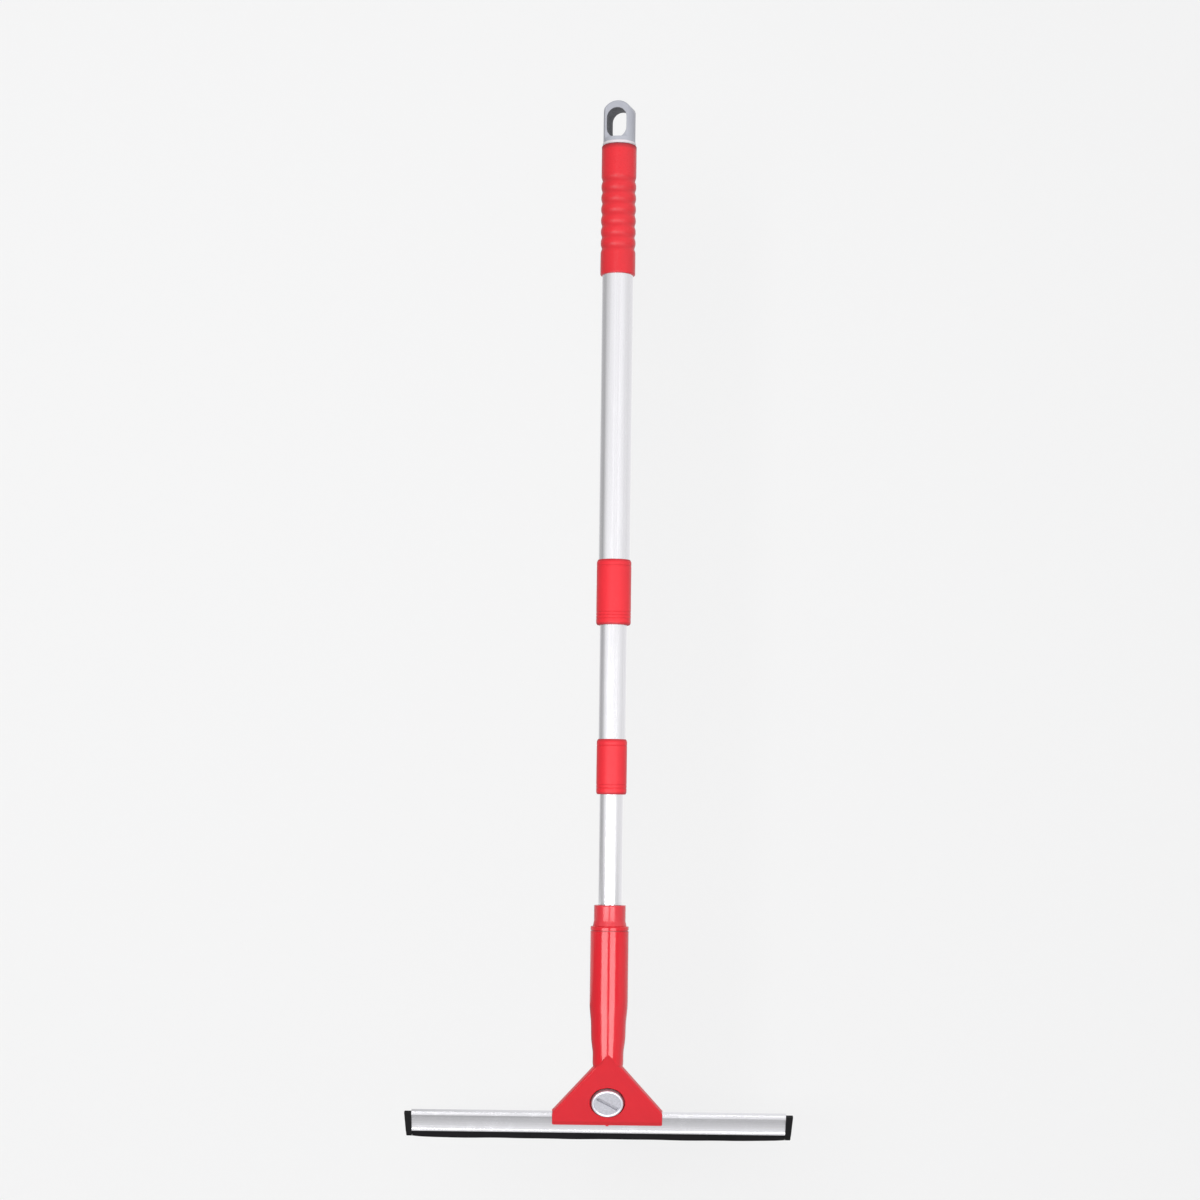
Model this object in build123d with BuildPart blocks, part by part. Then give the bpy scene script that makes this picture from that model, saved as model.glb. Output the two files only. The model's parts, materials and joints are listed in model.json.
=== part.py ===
"""Hand squeegee on a three-section telescopic pole, in millimetres.

Frame: the origin is where the hanging hole bears on a hook. +Z runs up the pole's axis, +X along
the blade, and the yoke's face looks towards -Y and a little down.
"""

import os
from math import cos, radians, sin

from build123d import *

# ---------------------------------------------------------------- driving dimensions

# Fits
press_fit = 0.0          # pieces that are pushed or glued together, on the radius
running_gap = 0.08       # a tube in its guide, a lock ring in its tube, on the radius
loose_gap = 0.3          # a screw in its hole, a channel in its slot
thread_gap = 0.35        # the pole's thread in the handle's socket, on the radius

# Hanging cap
cap_radius = 13.0
cap_thickness = 17.0     # between the two flats that the hole goes through
cap_turn = 17.0          # degrees that the cap is turned about the pole
cap_crown = 6.0          # material over the hole
cap_foot = 5.6           # material under the hole, down to the tube's end
cap_rounding = 1.4
hang_hole_width = 16.6
hang_hole_height = 24.9
cap_plug_length = 24.0
cap_plug_wall = 2.0

# Hand grip
grip_length = 107.0
grip_wall = 1.7
grip_rounding = 1.2
grip_plain_top = 29.2    # from the grip's top to its first groove
groove_count = 7
groove_pitch = 9.3
groove_round = 1.7
groove_depth = 1.0

# Tubes, from the largest to the smallest
outer_radius = 12.5
outer_wall = 1.0
outer_exposed = 232.0
middle_radius = 10.75
middle_wall = 0.9
middle_exposed = 91.4
middle_length = 372.0
inner_radius = 9.25
inner_wall = 0.8
inner_exposed = 87.7
inner_length = 346.0

# Collars on the lower ends of the outer and middle tubes
collar_wall = 1.4
collar_rounding = 1.2
upper_collar_length = 52.4
upper_collar_seat = 34.0     # length that the outer tube goes into its collar
lower_collar_length = 43.9
lower_collar_seat = 28.0
collar_ring_width = 0.7      # fine decorative grooves
collar_ring_depth = 0.35
collar_ring_pitch = 2.6
collar_ring_inset = 5.0      # from a collar's end to its nearest groove

# Twist locks: a plug with an eccentric journal, and a split ring on the journal
plug_insert = 18.0
plug_flange = 2.0
plug_rounding = 0.5
cam_length = 14.0            # between the plug's two flanges
cam_throw = 0.8              # offset of the journal from the pole's axis
cam_turn = 20.0              # degrees that the journal turns in its ring, each way
ring_thin_wall = 3.0
ring_end_gap = 0.3
ring_split = 3.0

# Threaded tip
tip_insert = 22.0
tip_flange_length = 16.4
tip_flange_radius = 12.6
tip_rim_radius = 13.4
tip_rim_length = 4.0
thread_radius = 8.2
thread_depth = 1.1
thread_pitch = 3.0
thread_base = 2.4            # width of a ridge at its foot, which is sunk into the core
thread_flank = 70.0
thread_turns = 7
tip_nose = 3.0

# Handle and yoke
handle_radius = 15.2
handle_straight = 60.0       # full-width length
handle_length = 100.6        # from the top rim to the point of the yoke's face
neck_radius = 12.2
waist_radius = 14.0
waist_drop = 15.0            # from the end of the full width to the waist
lower_waist_radius = 13.3
lower_waist_drop = 31.0
neck_drop = 6.0              # from the point of the yoke's face to the start of the neck's round end
neck_blend = 1.0             # concave rounding where the neck runs into the yoke
handle_rounding = 1.0
rim_band = 3.5
rim_groove = 0.9
rim_groove_depth = 0.6
head_lean = 30.0             # degrees that the yoke leans back from the pole
face_length = 68.0
yoke_width = 88.0
yoke_point_width = 3.0
yoke_cheek = 11.9            # height of the yoke's upright ends
cheek_rounding = 7.0
front_jaw = 5.0              # straight-sided front part of the yoke
yoke_thickness = 16.0
yoke_draft = 30.0            # degrees that the yoke narrows behind its front part
yoke_rounding = 1.4
bevel_depth = 1.0            # bevel along the front jaw's lower edge
bevel_height = 4.2
nib_width = 2.4              # centre mark under the front jaw
nib_drop = 0.9
slit_width = 1.6             # relief between the jaws, which the screw closes
slit_depth = 7.0             # from the face to the slit
slit_top = 38.0
slit_end_radius = 1.6
back_jaw_drop = 3.0

# Clamp screw
screw_height = 22.8          # from the yoke's lower edge
screw_head_radius = 12.6
screw_head_thickness = 4.4
screw_head_bevel = 0.9
screw_rim_width = 2.2
screw_rim_height = 0.6
screw_recess_depth = 3.0
screw_recess_gap = 1.6
screw_radius = 3.0
screw_end_bevel = 0.6
coin_slot_length = 19.0
coin_slot_width = 2.6
coin_slot_depth = 1.8
coin_slot_turn = -32.0
washer_radius = 8.0
washer_thickness = 1.2
nut_across_flats = 10.0
nut_thickness = 5.0

# Channel, rubber and end caps. Depths are measured from the yoke's face, heights from its lower
# edge.
channel_length = 299.0
blade_offset = -6.8          # from the yoke's centre to the blade's, which slides in the yoke
channel_front = 3.8
channel_top = 8.6
channel_lip = 3.4            # height of the lip over the hollow front
channel_hollow = 1.4         # depth of the hollow front
channel_flange = 4.0         # depth of the top flange
channel_flange_height = 1.3
channel_web = 1.6
holder_top = -6.5            # where the hollow front meets the rubber's holder
holder_bottom = -10.2
holder_depth = 5.4
holder_wall = 1.1
holder_rounding = 0.7
mouth_width = 2.0
mouth_height = 1.2
bulb_height = 2.4
rubber_gap = 0.1
rubber_reach = 7.3           # below the channel
end_cap_length = 5.7
end_cap_skin = 0.5           # how far the cap stands proud of the channel
end_cap_rounding = 0.7
end_cap_taper = 1.2          # how much shorter the cap is at its foot
end_cap_upper_depth = 2.8    # over the hollow front, where the cap is thinner than at its foot
end_cap_foot_depth = 4.4
end_cap_foot_gap = 2.4       # from the cap's foot to the rubber's working edge
end_cap_peg = 8.0            # length that plugs into the channel

# ---------------------------------------------------------------- levels along the pole

tube_top = -(hang_hole_height + cap_foot)
grip_bottom = tube_top - grip_length
upper_collar_top = grip_bottom - outer_exposed
upper_collar_bottom = upper_collar_top - upper_collar_length
outer_bottom = upper_collar_top - upper_collar_seat
lower_collar_top = upper_collar_bottom - middle_exposed
lower_collar_bottom = lower_collar_top - lower_collar_length
middle_bottom = lower_collar_top - lower_collar_seat
middle_top = middle_bottom + middle_length
tip_top = lower_collar_bottom - inner_exposed
inner_top = tip_top + inner_length
handle_top = tip_top - tip_flange_length
face_point = handle_top - handle_length
neck_end = face_point - neck_drop

outer_bore = outer_radius - outer_wall
middle_bore = middle_radius - middle_wall
inner_bore = inner_radius - inner_wall

# The journal moves sideways in its ring as it turns, and this gap leaves room for that.
journal_gap = 2 * cam_throw * sin(radians(cam_turn / 2)) + running_gap

# ---------------------------------------------------------------- planes of the leaning head

down_face = Vector(0, sin(radians(head_lean)), -cos(radians(head_lean)))
out_of_face = Vector(0, -cos(radians(head_lean)), -sin(radians(head_lean)))
face_foot = Vector(0, -neck_radius, face_point) + down_face * face_length

# On face_plane, x is the row's X, y runs up the face and z out of it.
face_plane = Plane(origin=face_foot, x_dir=(1, 0, 0), z_dir=out_of_face)
# On section_plane, x runs into the yoke, y up the face and z along the blade.
section_plane = Plane(origin=face_foot, x_dir=-out_of_face, z_dir=(1, 0, 0))
# The same two planes at the middle of the blade.
blade_middle = face_foot + Vector(blade_offset, 0, 0)
blade_face_plane = Plane(origin=blade_middle, x_dir=(1, 0, 0), z_dir=out_of_face)
blade_section_plane = Plane(origin=blade_middle, x_dir=-out_of_face, z_dir=(1, 0, 0))


def write(piece, name):
    """Label a finished piece and write it."""
    piece.part.label = name
    export_step(piece.part, f"parts/{name}.step")


def round_tube(radius, wall, top, bottom):
    """A plain round tube on the pole's axis."""
    with BuildPart() as tube:
        with BuildSketch(Plane.XY.offset(bottom)):
            Circle(radius)
            Circle(radius - wall, mode=Mode.SUBTRACT)
        extrude(amount=top - bottom)
    return tube


def collar(tube_radius, guided_radius, top, length, seat, lower_rings):
    """A moulded collar: it grips one tube's end and guides the next tube."""
    outside = tube_radius + collar_wall
    bottom = top - length
    ring_levels = [top - collar_ring_inset]
    ring_levels += [bottom + collar_ring_inset + i * collar_ring_pitch for i in range(lower_rings)]
    with BuildPart() as piece:
        with BuildSketch(Plane.XY.offset(bottom)):
            Circle(outside)
        extrude(amount=length)
        fillet(piece.edges().filter_by(GeomType.CIRCLE), radius=collar_rounding)
        with BuildSketch(Plane.XY.offset(bottom)):
            Circle(guided_radius + running_gap)
        extrude(amount=length, mode=Mode.SUBTRACT)
        with BuildSketch(Plane.XY.offset(top)):
            Circle(tube_radius + press_fit)
        extrude(amount=-seat, mode=Mode.SUBTRACT)
        with BuildSketch(Plane.XZ):
            with Locations(*[(outside, level) for level in ring_levels]):
                Rectangle(2 * collar_ring_depth, collar_ring_width)
        revolve(axis=Axis.Z, mode=Mode.SUBTRACT)
    return piece


def journal_radius(guide_bore):
    """Radius of the eccentric journal whose ring keeps its thin wall in a tube of this bore."""
    return guide_bore - running_gap - ring_thin_wall - cam_throw - journal_gap


def cam_plug(tube_radius, tube_bore, guide_bore, tube_end):
    """A plug in a tube's upper end, with an eccentric journal between two flanges."""
    journal_bottom = tube_end + plug_flange
    with BuildPart() as piece:
        with BuildSketch(Plane.XY.offset(tube_end - plug_insert)):
            Circle(tube_bore - press_fit)
        extrude(amount=plug_insert)
        with BuildSketch(Plane.XY.offset(tube_end)):
            Circle(tube_radius)
        extrude(amount=plug_flange)
        with BuildSketch(Plane.XY.offset(journal_bottom)):
            with Locations((0, cam_throw)):
                Circle(journal_radius(guide_bore))
        extrude(amount=cam_length)
        with BuildSketch(Plane.XY.offset(journal_bottom + cam_length)):
            Circle(tube_bore)
        extrude(amount=plug_flange)
        fillet(piece.faces().sort_by(Axis.Z)[-1].edges(), radius=plug_rounding)
    return piece


def cam_ring(guide_bore, tube_end):
    """The split ring that the journal turns in, and that jams in the tube around it."""
    ring_bottom = tube_end + plug_flange + ring_end_gap
    with BuildPart() as piece:
        with BuildSketch(Plane.XY.offset(ring_bottom)):
            Circle(guide_bore - running_gap)
            with Locations((0, cam_throw)):
                Circle(journal_radius(guide_bore) + journal_gap, mode=Mode.SUBTRACT)
            with Locations((0, guide_bore)):
                Rectangle(ring_split, guide_bore, mode=Mode.SUBTRACT)
        extrude(amount=cam_length - 2 * ring_end_gap)
    return piece


def yoke_outline(bottom):
    """The yoke's face: a triangle that stands on two short upright ends."""
    half = yoke_width / 2
    with BuildSketch() as outline:
        with BuildLine():
            Polyline((-yoke_point_width / 2, face_length), (yoke_point_width / 2, face_length),
                     (half, yoke_cheek), (half, bottom), (-half, bottom), (-half, yoke_cheek),
                     (-yoke_point_width / 2, face_length))
        make_face()
    return outline.sketch


def runs_into_yoke(edge):
    """Whether an edge of the neck's round end lies where it meets the yoke, behind its face."""
    middle = edge.center()
    behind_face = face_plane.to_local_coords(middle).Z < -neck_blend / 4
    return behind_face and middle.Z < neck_end - neck_blend / 4


os.makedirs("parts", exist_ok=True)

# ---------------------------------------------------------------- hanging cap

cap_cos = cos(radians(cap_turn))
cap_sin = sin(radians(cap_turn))
cap_plane = Plane(origin=(0, 0, 0), x_dir=(cap_cos, -cap_sin, 0), z_dir=(-cap_sin, -cap_cos, 0))
crown_level = cap_crown - cap_radius
with BuildPart() as hang_cap:
    with BuildSketch(cap_plane):
        with Locations((0, crown_level)):
            Circle(cap_radius)
        with Locations((0, (crown_level + tube_top) / 2)):
            Rectangle(2 * cap_radius, crown_level - tube_top)
    extrude(amount=cap_thickness / 2, both=True)
    fillet(hang_cap.edges().filter_by(GeomType.CIRCLE), radius=cap_rounding)
    with BuildSketch(Plane.XY.offset(tube_top)):
        Circle(cap_radius)
    extrude(amount=cap_foot)
    with BuildSketch(Plane.XY.offset(tube_top)):
        Circle(cap_radius)
    extrude(amount=cap_crown - tube_top, mode=Mode.INTERSECT)
    with BuildSketch(cap_plane):
        with Locations((0, -hang_hole_height / 2)):
            SlotOverall(hang_hole_height, hang_hole_width, rotation=90)
    extrude(amount=cap_radius, both=True, mode=Mode.SUBTRACT)
    with BuildSketch(Plane.XY.offset(tube_top)):
        Circle(outer_bore - press_fit)
        Circle(outer_bore - cap_plug_wall, mode=Mode.SUBTRACT)
    extrude(amount=-cap_plug_length)
write(hang_cap, "hang_cap")

# ---------------------------------------------------------------- hand grip

grip_radius = outer_radius + grip_wall
groove_levels = [tube_top - grip_plain_top - i * groove_pitch for i in range(groove_count)]
with BuildPart() as hand_grip:
    with BuildSketch(Plane.XY.offset(grip_bottom)):
        Circle(grip_radius)
    extrude(amount=grip_length)
    fillet(hand_grip.edges().filter_by(GeomType.CIRCLE), radius=grip_rounding)
    with BuildSketch(Plane.XY.offset(grip_bottom)):
        Circle(outer_radius + press_fit)
    extrude(amount=grip_length, mode=Mode.SUBTRACT)
    with BuildSketch(Plane.XZ):
        with Locations(*[(grip_radius + groove_round - groove_depth, z) for z in groove_levels]):
            Circle(groove_round)
    revolve(axis=Axis.Z, mode=Mode.SUBTRACT)
write(hand_grip, "hand_grip")

# ---------------------------------------------------------------- tubes, collars and twist locks

outer_tube = round_tube(outer_radius, outer_wall, tube_top, outer_bottom)
write(outer_tube, "outer_tube")

middle_tube = round_tube(middle_radius, middle_wall, middle_top, middle_bottom)
write(middle_tube, "middle_tube")

inner_tube = round_tube(inner_radius, inner_wall, inner_top, tip_top)
write(inner_tube, "inner_tube")

upper_collar = collar(outer_radius, middle_radius, upper_collar_top, upper_collar_length,
                      upper_collar_seat, 3)
write(upper_collar, "upper_collar")

lower_collar = collar(middle_radius, inner_radius, lower_collar_top, lower_collar_length,
                      lower_collar_seat, 2)
write(lower_collar, "lower_collar")

upper_cam_plug = cam_plug(middle_radius, middle_bore, outer_bore, middle_top)
write(upper_cam_plug, "upper_cam_plug")

upper_cam_ring = cam_ring(outer_bore, middle_top)
write(upper_cam_ring, "upper_cam_ring")

lower_cam_plug = cam_plug(inner_radius, inner_bore, middle_bore, inner_top)
write(lower_cam_plug, "lower_cam_plug")

lower_cam_ring = cam_ring(middle_bore, inner_top)
write(lower_cam_ring, "lower_cam_ring")

# ---------------------------------------------------------------- threaded tip

thread_length = thread_pitch * thread_turns
thread_root = thread_radius - thread_depth
thread_levels = [handle_top - (i + 0.5) * thread_pitch for i in range(thread_turns)]
with BuildPart() as threaded_tip:
    with BuildSketch(Plane.XY.offset(tip_top)):
        Circle(inner_bore - press_fit)
    extrude(amount=tip_insert)
    with BuildSketch(Plane.XZ):
        with BuildLine():
            Polyline((0, tip_top), (tip_flange_radius, tip_top),
                     (tip_flange_radius, handle_top + tip_rim_length),
                     (tip_rim_radius, handle_top), (0, handle_top), (0, tip_top))
        make_face()
    revolve(axis=Axis.Z)
    with BuildSketch(Plane.XY.offset(handle_top)):
        Circle(thread_root)
    extrude(amount=-(thread_length + tip_nose))
    chamfer(threaded_tip.faces().sort_by(Axis.Z)[0].edges(), length=thread_depth)
    with BuildSketch(Plane.XZ):
        with Locations(*[(thread_root, level) for level in thread_levels]):
            Trapezoid(thread_base, 2 * thread_depth, thread_flank, rotation=-90)
    revolve(axis=Axis.Z)
write(threaded_tip, "threaded_tip")

# ---------------------------------------------------------------- handle and yoke

socket_radius = thread_radius + thread_gap
socket_depth = thread_length + tip_nose + thread_gap
handle_straight_end = handle_top - handle_straight
slot_front = channel_front - loose_gap
slot_back = channel_front + channel_flange + loose_gap
slot_top = channel_top + loose_gap
hook_top = channel_top - channel_lip - 2 * loose_gap
hook_reach = channel_hollow / 4
clear_of_head = yoke_width
screw_recess_radius = screw_head_radius + screw_recess_gap
face_axis = Axis(origin=tuple(face_foot), direction=tuple(out_of_face))

with BuildPart() as squeegee_handle:
    with BuildSketch(face_plane):
        add(yoke_outline(bottom=0))
    extrude(amount=-front_jaw)
    corners = squeegee_handle.edges().filter_by(face_axis).group_by(Axis.Z)
    fillet(corners[0], radius=yoke_rounding)
    fillet(corners[1], radius=cheek_rounding)
    fillet(squeegee_handle.faces().sort_by(face_axis)[-1].edges(), radius=yoke_rounding)
    with BuildSketch(face_plane.offset(-front_jaw)):
        add(yoke_outline(bottom=-yoke_thickness))
    extrude(amount=-(yoke_thickness - front_jaw), taper=yoke_draft)
    with BuildSketch(Plane.XZ):
        with BuildLine():
            Polyline((0, neck_end), (0, handle_top), (handle_radius - handle_rounding, handle_top))
            CenterArc((handle_radius - handle_rounding, handle_top - handle_rounding),
                      handle_rounding, 0, 90)
            Line((handle_radius, handle_top - handle_rounding), (handle_radius, handle_straight_end))
            Spline((handle_radius, handle_straight_end),
                   (waist_radius, handle_straight_end - waist_drop),
                   (lower_waist_radius, handle_straight_end - lower_waist_drop), (neck_radius, face_point),
                   tangents=((0, -1), (0, -1)))
            Line((neck_radius, face_point), (neck_radius, neck_end))
            CenterArc((0, neck_end), neck_radius, 0, -90)
            Line((0, neck_end - neck_radius), (0, neck_end))
        make_face()
    revolve(axis=Axis.Z)
    with BuildSketch(face_plane):
        add(yoke_outline(bottom=0))
    extrude(amount=2 * neck_radius, mode=Mode.SUBTRACT)
    neck_round_end = squeegee_handle.faces().filter_by(GeomType.SPHERE).sort_by(Axis.Z)[-1]
    fillet(neck_round_end.edges().filter_by(runs_into_yoke), radius=neck_blend)
    with BuildSketch(Plane.XZ):
        with Locations((handle_radius, handle_top - rim_band)):
            Rectangle(2 * rim_groove_depth, rim_groove)
    revolve(axis=Axis.Z, mode=Mode.SUBTRACT)
    with BuildSketch(Plane.XY.offset(handle_top)):
        Circle(socket_radius)
    extrude(amount=-socket_depth, mode=Mode.SUBTRACT)
    # The channel's slot, open below; the back jaw reaches further down than the front one.
    with BuildSketch(section_plane):
        with BuildLine():
            Polyline((slot_front, slot_top), (slot_front, hook_top),
                     (slot_front + hook_reach, hook_top - hook_reach),
                     (slot_front + hook_reach, -clear_of_head), (clear_of_head, -clear_of_head),
                     (clear_of_head, -back_jaw_drop), (slot_back, -back_jaw_drop),
                     (slot_back, slot_top), (slot_front, slot_top))
        make_face()
        with BuildLine():
            Polyline((0, 0), (bevel_depth, 0), (0, bevel_height), (0, 0))
        make_face()
        with Locations((slit_depth + slit_width / 2, slit_top / 2)):
            Rectangle(slit_width, slit_top)
        with Locations((slit_depth + slit_width / 2, slit_top)):
            Circle(slit_end_radius)
    extrude(amount=clear_of_head, both=True, mode=Mode.SUBTRACT)
    with BuildSketch(face_plane.offset(-slot_front)):
        with Locations((0, 0)):
            Rectangle(nib_width, 2 * nib_drop)
    extrude(amount=slot_front - bevel_depth)
    with BuildSketch(face_plane):
        with Locations((0, screw_height)):
            Circle(screw_recess_radius)
    extrude(amount=-screw_recess_depth, mode=Mode.SUBTRACT)
    with BuildSketch(face_plane):
        with Locations((0, screw_height)):
            Circle(screw_radius + loose_gap)
    extrude(amount=-yoke_thickness, mode=Mode.SUBTRACT)
    with BuildSketch(face_plane.offset(-yoke_thickness)):
        with Locations((0, screw_height)):
            RegularPolygon(nut_across_flats / 2 + running_gap, 6, major_radius=False)
    extrude(amount=nut_thickness + loose_gap, mode=Mode.SUBTRACT)
write(squeegee_handle, "squeegee_handle")

# ---------------------------------------------------------------- clamp screw, washer and nut

head_under = -screw_recess_depth + washer_thickness
nut_back = -yoke_thickness + loose_gap
with BuildPart() as clamp_screw:
    with BuildSketch(face_plane.offset(head_under)):
        with Locations((0, screw_height)):
            Circle(screw_head_radius)
    extrude(amount=screw_head_thickness)
    chamfer(clamp_screw.faces().sort_by(face_axis)[-1].edges(), length=screw_head_bevel)
    with BuildSketch(face_plane.offset(head_under + screw_head_thickness)):
        with Locations((0, screw_height)):
            Circle(screw_head_radius - screw_rim_width)
    extrude(amount=-screw_rim_height, mode=Mode.SUBTRACT)
    with BuildSketch(face_plane.offset(head_under + screw_head_thickness - screw_rim_height)):
        with Locations((0, screw_height)):
            Rectangle(coin_slot_length, coin_slot_width, rotation=coin_slot_turn)
    extrude(amount=-coin_slot_depth, mode=Mode.SUBTRACT)
    with BuildSketch(face_plane.offset(head_under)):
        with Locations((0, screw_height)):
            Circle(screw_radius)
    extrude(amount=nut_back - head_under)
    chamfer(clamp_screw.faces().sort_by(face_axis)[0].edges(), length=screw_end_bevel)
write(clamp_screw, "clamp_screw")

with BuildPart() as clamp_washer:
    with BuildSketch(face_plane.offset(-screw_recess_depth)):
        with Locations((0, screw_height)):
            Circle(washer_radius)
            Circle(screw_radius + loose_gap, mode=Mode.SUBTRACT)
    extrude(amount=washer_thickness)
write(clamp_washer, "clamp_washer")

with BuildPart() as clamp_nut:
    with BuildSketch(face_plane.offset(nut_back)):
        with Locations((0, screw_height)):
            RegularPolygon(nut_across_flats / 2, 6, major_radius=False)
            Circle(screw_radius + running_gap, mode=Mode.SUBTRACT)
    extrude(amount=nut_thickness)
write(clamp_nut, "clamp_nut")

# ---------------------------------------------------------------- channel, rubber and end caps

mouth_middle = channel_front + holder_depth / 2
bulb_depth = holder_depth - 2 * holder_wall
bulb_bottom = holder_bottom + mouth_height
lip_bottom = channel_top - channel_lip
flange_bottom = channel_top - channel_flange_height
flange_back = channel_front + channel_flange
web_back = channel_front + channel_hollow + channel_web
holder_back = channel_front + holder_depth
shoulder = holder_top + holder_wall
with BuildPart() as squeegee_channel:
    with BuildSketch(blade_section_plane):
        with BuildLine():
            Polyline((channel_front, holder_top), (channel_front, holder_bottom),
                     (holder_back, holder_bottom), (holder_back, shoulder),
                     (web_back, shoulder + holder_back - web_back), (web_back, flange_bottom),
                     (flange_back, flange_bottom), (flange_back, channel_top),
                     (channel_front, channel_top), (channel_front, lip_bottom))
            ThreePointArc((channel_front, lip_bottom),
                          (channel_front + channel_hollow, (lip_bottom + holder_top) / 2),
                          (channel_front, holder_top))
        section = make_face()
        front_corners = section.vertices().group_by(Axis.X)[0].sort_by(Axis.Y)
        fillet([front_corners[0], front_corners[-1]], radius=holder_rounding)
        with Locations((mouth_middle, holder_bottom + mouth_height / 2)):
            Rectangle(mouth_width, mouth_height, mode=Mode.SUBTRACT)
        with Locations((mouth_middle, bulb_bottom + bulb_height / 2)):
            Rectangle(bulb_depth, bulb_height, mode=Mode.SUBTRACT)
    extrude(amount=channel_length / 2, both=True)
write(squeegee_channel, "squeegee_channel")

rubber_edge = holder_bottom - rubber_reach
with BuildPart() as rubber_blade:
    with BuildSketch(blade_section_plane):
        with Locations((mouth_middle, (rubber_edge + bulb_bottom) / 2)):
            Rectangle(mouth_width - 2 * rubber_gap, bulb_bottom - rubber_edge)
    extrude(amount=channel_length / 2, both=True)
    with BuildSketch(blade_section_plane):
        with Locations((mouth_middle, bulb_bottom + (bulb_height - rubber_gap) / 2)):
            Rectangle(bulb_depth - 2 * rubber_gap, bulb_height - rubber_gap)
    extrude(amount=channel_length / 2 - end_cap_peg, both=True)
write(rubber_blade, "rubber_blade")

cap_front = channel_front - end_cap_skin
cap_back = channel_front + holder_depth + end_cap_skin
cap_top = channel_top - end_cap_skin
cap_bottom = holder_bottom - end_cap_skin
block_top = shoulder + holder_back - web_back + end_cap_skin
foot_end = rubber_edge + end_cap_foot_gap
for side, name in ((-1, "end_cap_left"), (1, "end_cap_right")):
    channel_end = side * channel_length / 2
    cap_end = channel_end + side * end_cap_length
    with BuildPart() as end_cap:
        with BuildSketch(blade_section_plane.offset(channel_end)):
            with Locations((cap_front + end_cap_upper_depth / 2, (cap_top + cap_bottom) / 2)):
                Rectangle(end_cap_upper_depth, cap_top - cap_bottom)
            with Locations(((cap_front + cap_back) / 2, (block_top + cap_bottom) / 2)):
                Rectangle(cap_back - cap_front, block_top - cap_bottom)
            with Locations((mouth_middle, (block_top + foot_end) / 2)):
                Rectangle(end_cap_foot_depth, block_top - foot_end)
        extrude(amount=side * end_cap_length)
        with BuildSketch(blade_face_plane):
            with BuildLine():
                Polyline((channel_end, cap_top), (cap_end, cap_top),
                         (cap_end - side * end_cap_taper, foot_end), (channel_end, foot_end),
                         (channel_end, cap_top))
            make_face()
        extrude(amount=-2 * cap_back, mode=Mode.INTERSECT)
        outer_face = end_cap.faces().sort_by(Axis.X)[0 if side < 0 else -1]
        fillet(outer_face.edges(), radius=end_cap_rounding)
        with BuildSketch(blade_section_plane.offset(channel_end)):
            with Locations((mouth_middle, bulb_bottom + bulb_height / 2)):
                Rectangle(bulb_depth - 2 * press_fit, bulb_height - 2 * press_fit)
        extrude(amount=-side * end_cap_peg)
    write(end_cap, name)
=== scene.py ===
# %% [markdown]
# # A telescopic window squeegee
#
# A squeegee hangs by the hole in its grey end cap. Below the cap come a red grip, three aluminium
# tubes that slide into each other, two red collars, and a red handle whose yoke clamps a metal
# channel with a rubber strip. The solids come from a CAD model and already have the right places
# and sizes. This file gives them their finish, and it makes again, with more detail, the pieces
# whose shape a CAD solid only outlines: the grip, the tubes, the collars, the threaded tip, the
# screw, the channel and the rubber.

# %% Load the CAD model as a fixed frame
import json
from math import atan2, cos, pi, radians, sin

import bpy
import numpy as np
from mathutils import Matrix, Vector

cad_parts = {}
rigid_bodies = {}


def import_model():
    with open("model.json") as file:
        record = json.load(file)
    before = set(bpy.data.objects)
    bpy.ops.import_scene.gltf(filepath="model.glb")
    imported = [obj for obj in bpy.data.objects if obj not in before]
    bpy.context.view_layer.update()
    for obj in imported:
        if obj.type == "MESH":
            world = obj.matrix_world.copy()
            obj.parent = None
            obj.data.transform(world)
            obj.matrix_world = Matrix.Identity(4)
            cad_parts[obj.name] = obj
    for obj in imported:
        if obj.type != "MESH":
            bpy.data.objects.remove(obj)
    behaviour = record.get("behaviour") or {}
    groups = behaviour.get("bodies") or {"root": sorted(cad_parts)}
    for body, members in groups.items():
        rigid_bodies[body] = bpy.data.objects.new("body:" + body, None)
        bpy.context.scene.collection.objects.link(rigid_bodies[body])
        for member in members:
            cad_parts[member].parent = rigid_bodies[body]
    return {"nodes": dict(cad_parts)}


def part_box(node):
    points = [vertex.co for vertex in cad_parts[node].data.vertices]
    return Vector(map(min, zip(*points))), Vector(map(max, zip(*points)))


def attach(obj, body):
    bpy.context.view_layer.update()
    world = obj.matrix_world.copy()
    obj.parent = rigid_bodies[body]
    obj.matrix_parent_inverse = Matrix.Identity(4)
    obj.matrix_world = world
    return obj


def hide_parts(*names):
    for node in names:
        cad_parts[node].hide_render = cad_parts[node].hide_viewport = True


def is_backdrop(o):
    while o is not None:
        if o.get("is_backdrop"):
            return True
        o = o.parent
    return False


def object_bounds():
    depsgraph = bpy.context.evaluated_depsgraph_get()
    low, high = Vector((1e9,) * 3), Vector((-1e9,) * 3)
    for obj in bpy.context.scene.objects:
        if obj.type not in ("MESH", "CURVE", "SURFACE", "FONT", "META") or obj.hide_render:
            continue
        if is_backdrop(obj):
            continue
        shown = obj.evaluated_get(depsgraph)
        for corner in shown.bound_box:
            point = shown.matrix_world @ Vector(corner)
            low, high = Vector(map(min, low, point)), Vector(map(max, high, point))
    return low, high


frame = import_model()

cad_low, cad_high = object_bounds()
nodes = frame["nodes"]
print("loaded", len(nodes), "pieces, height", round(cad_high.z - cad_low.z, 3), "m")

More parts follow.
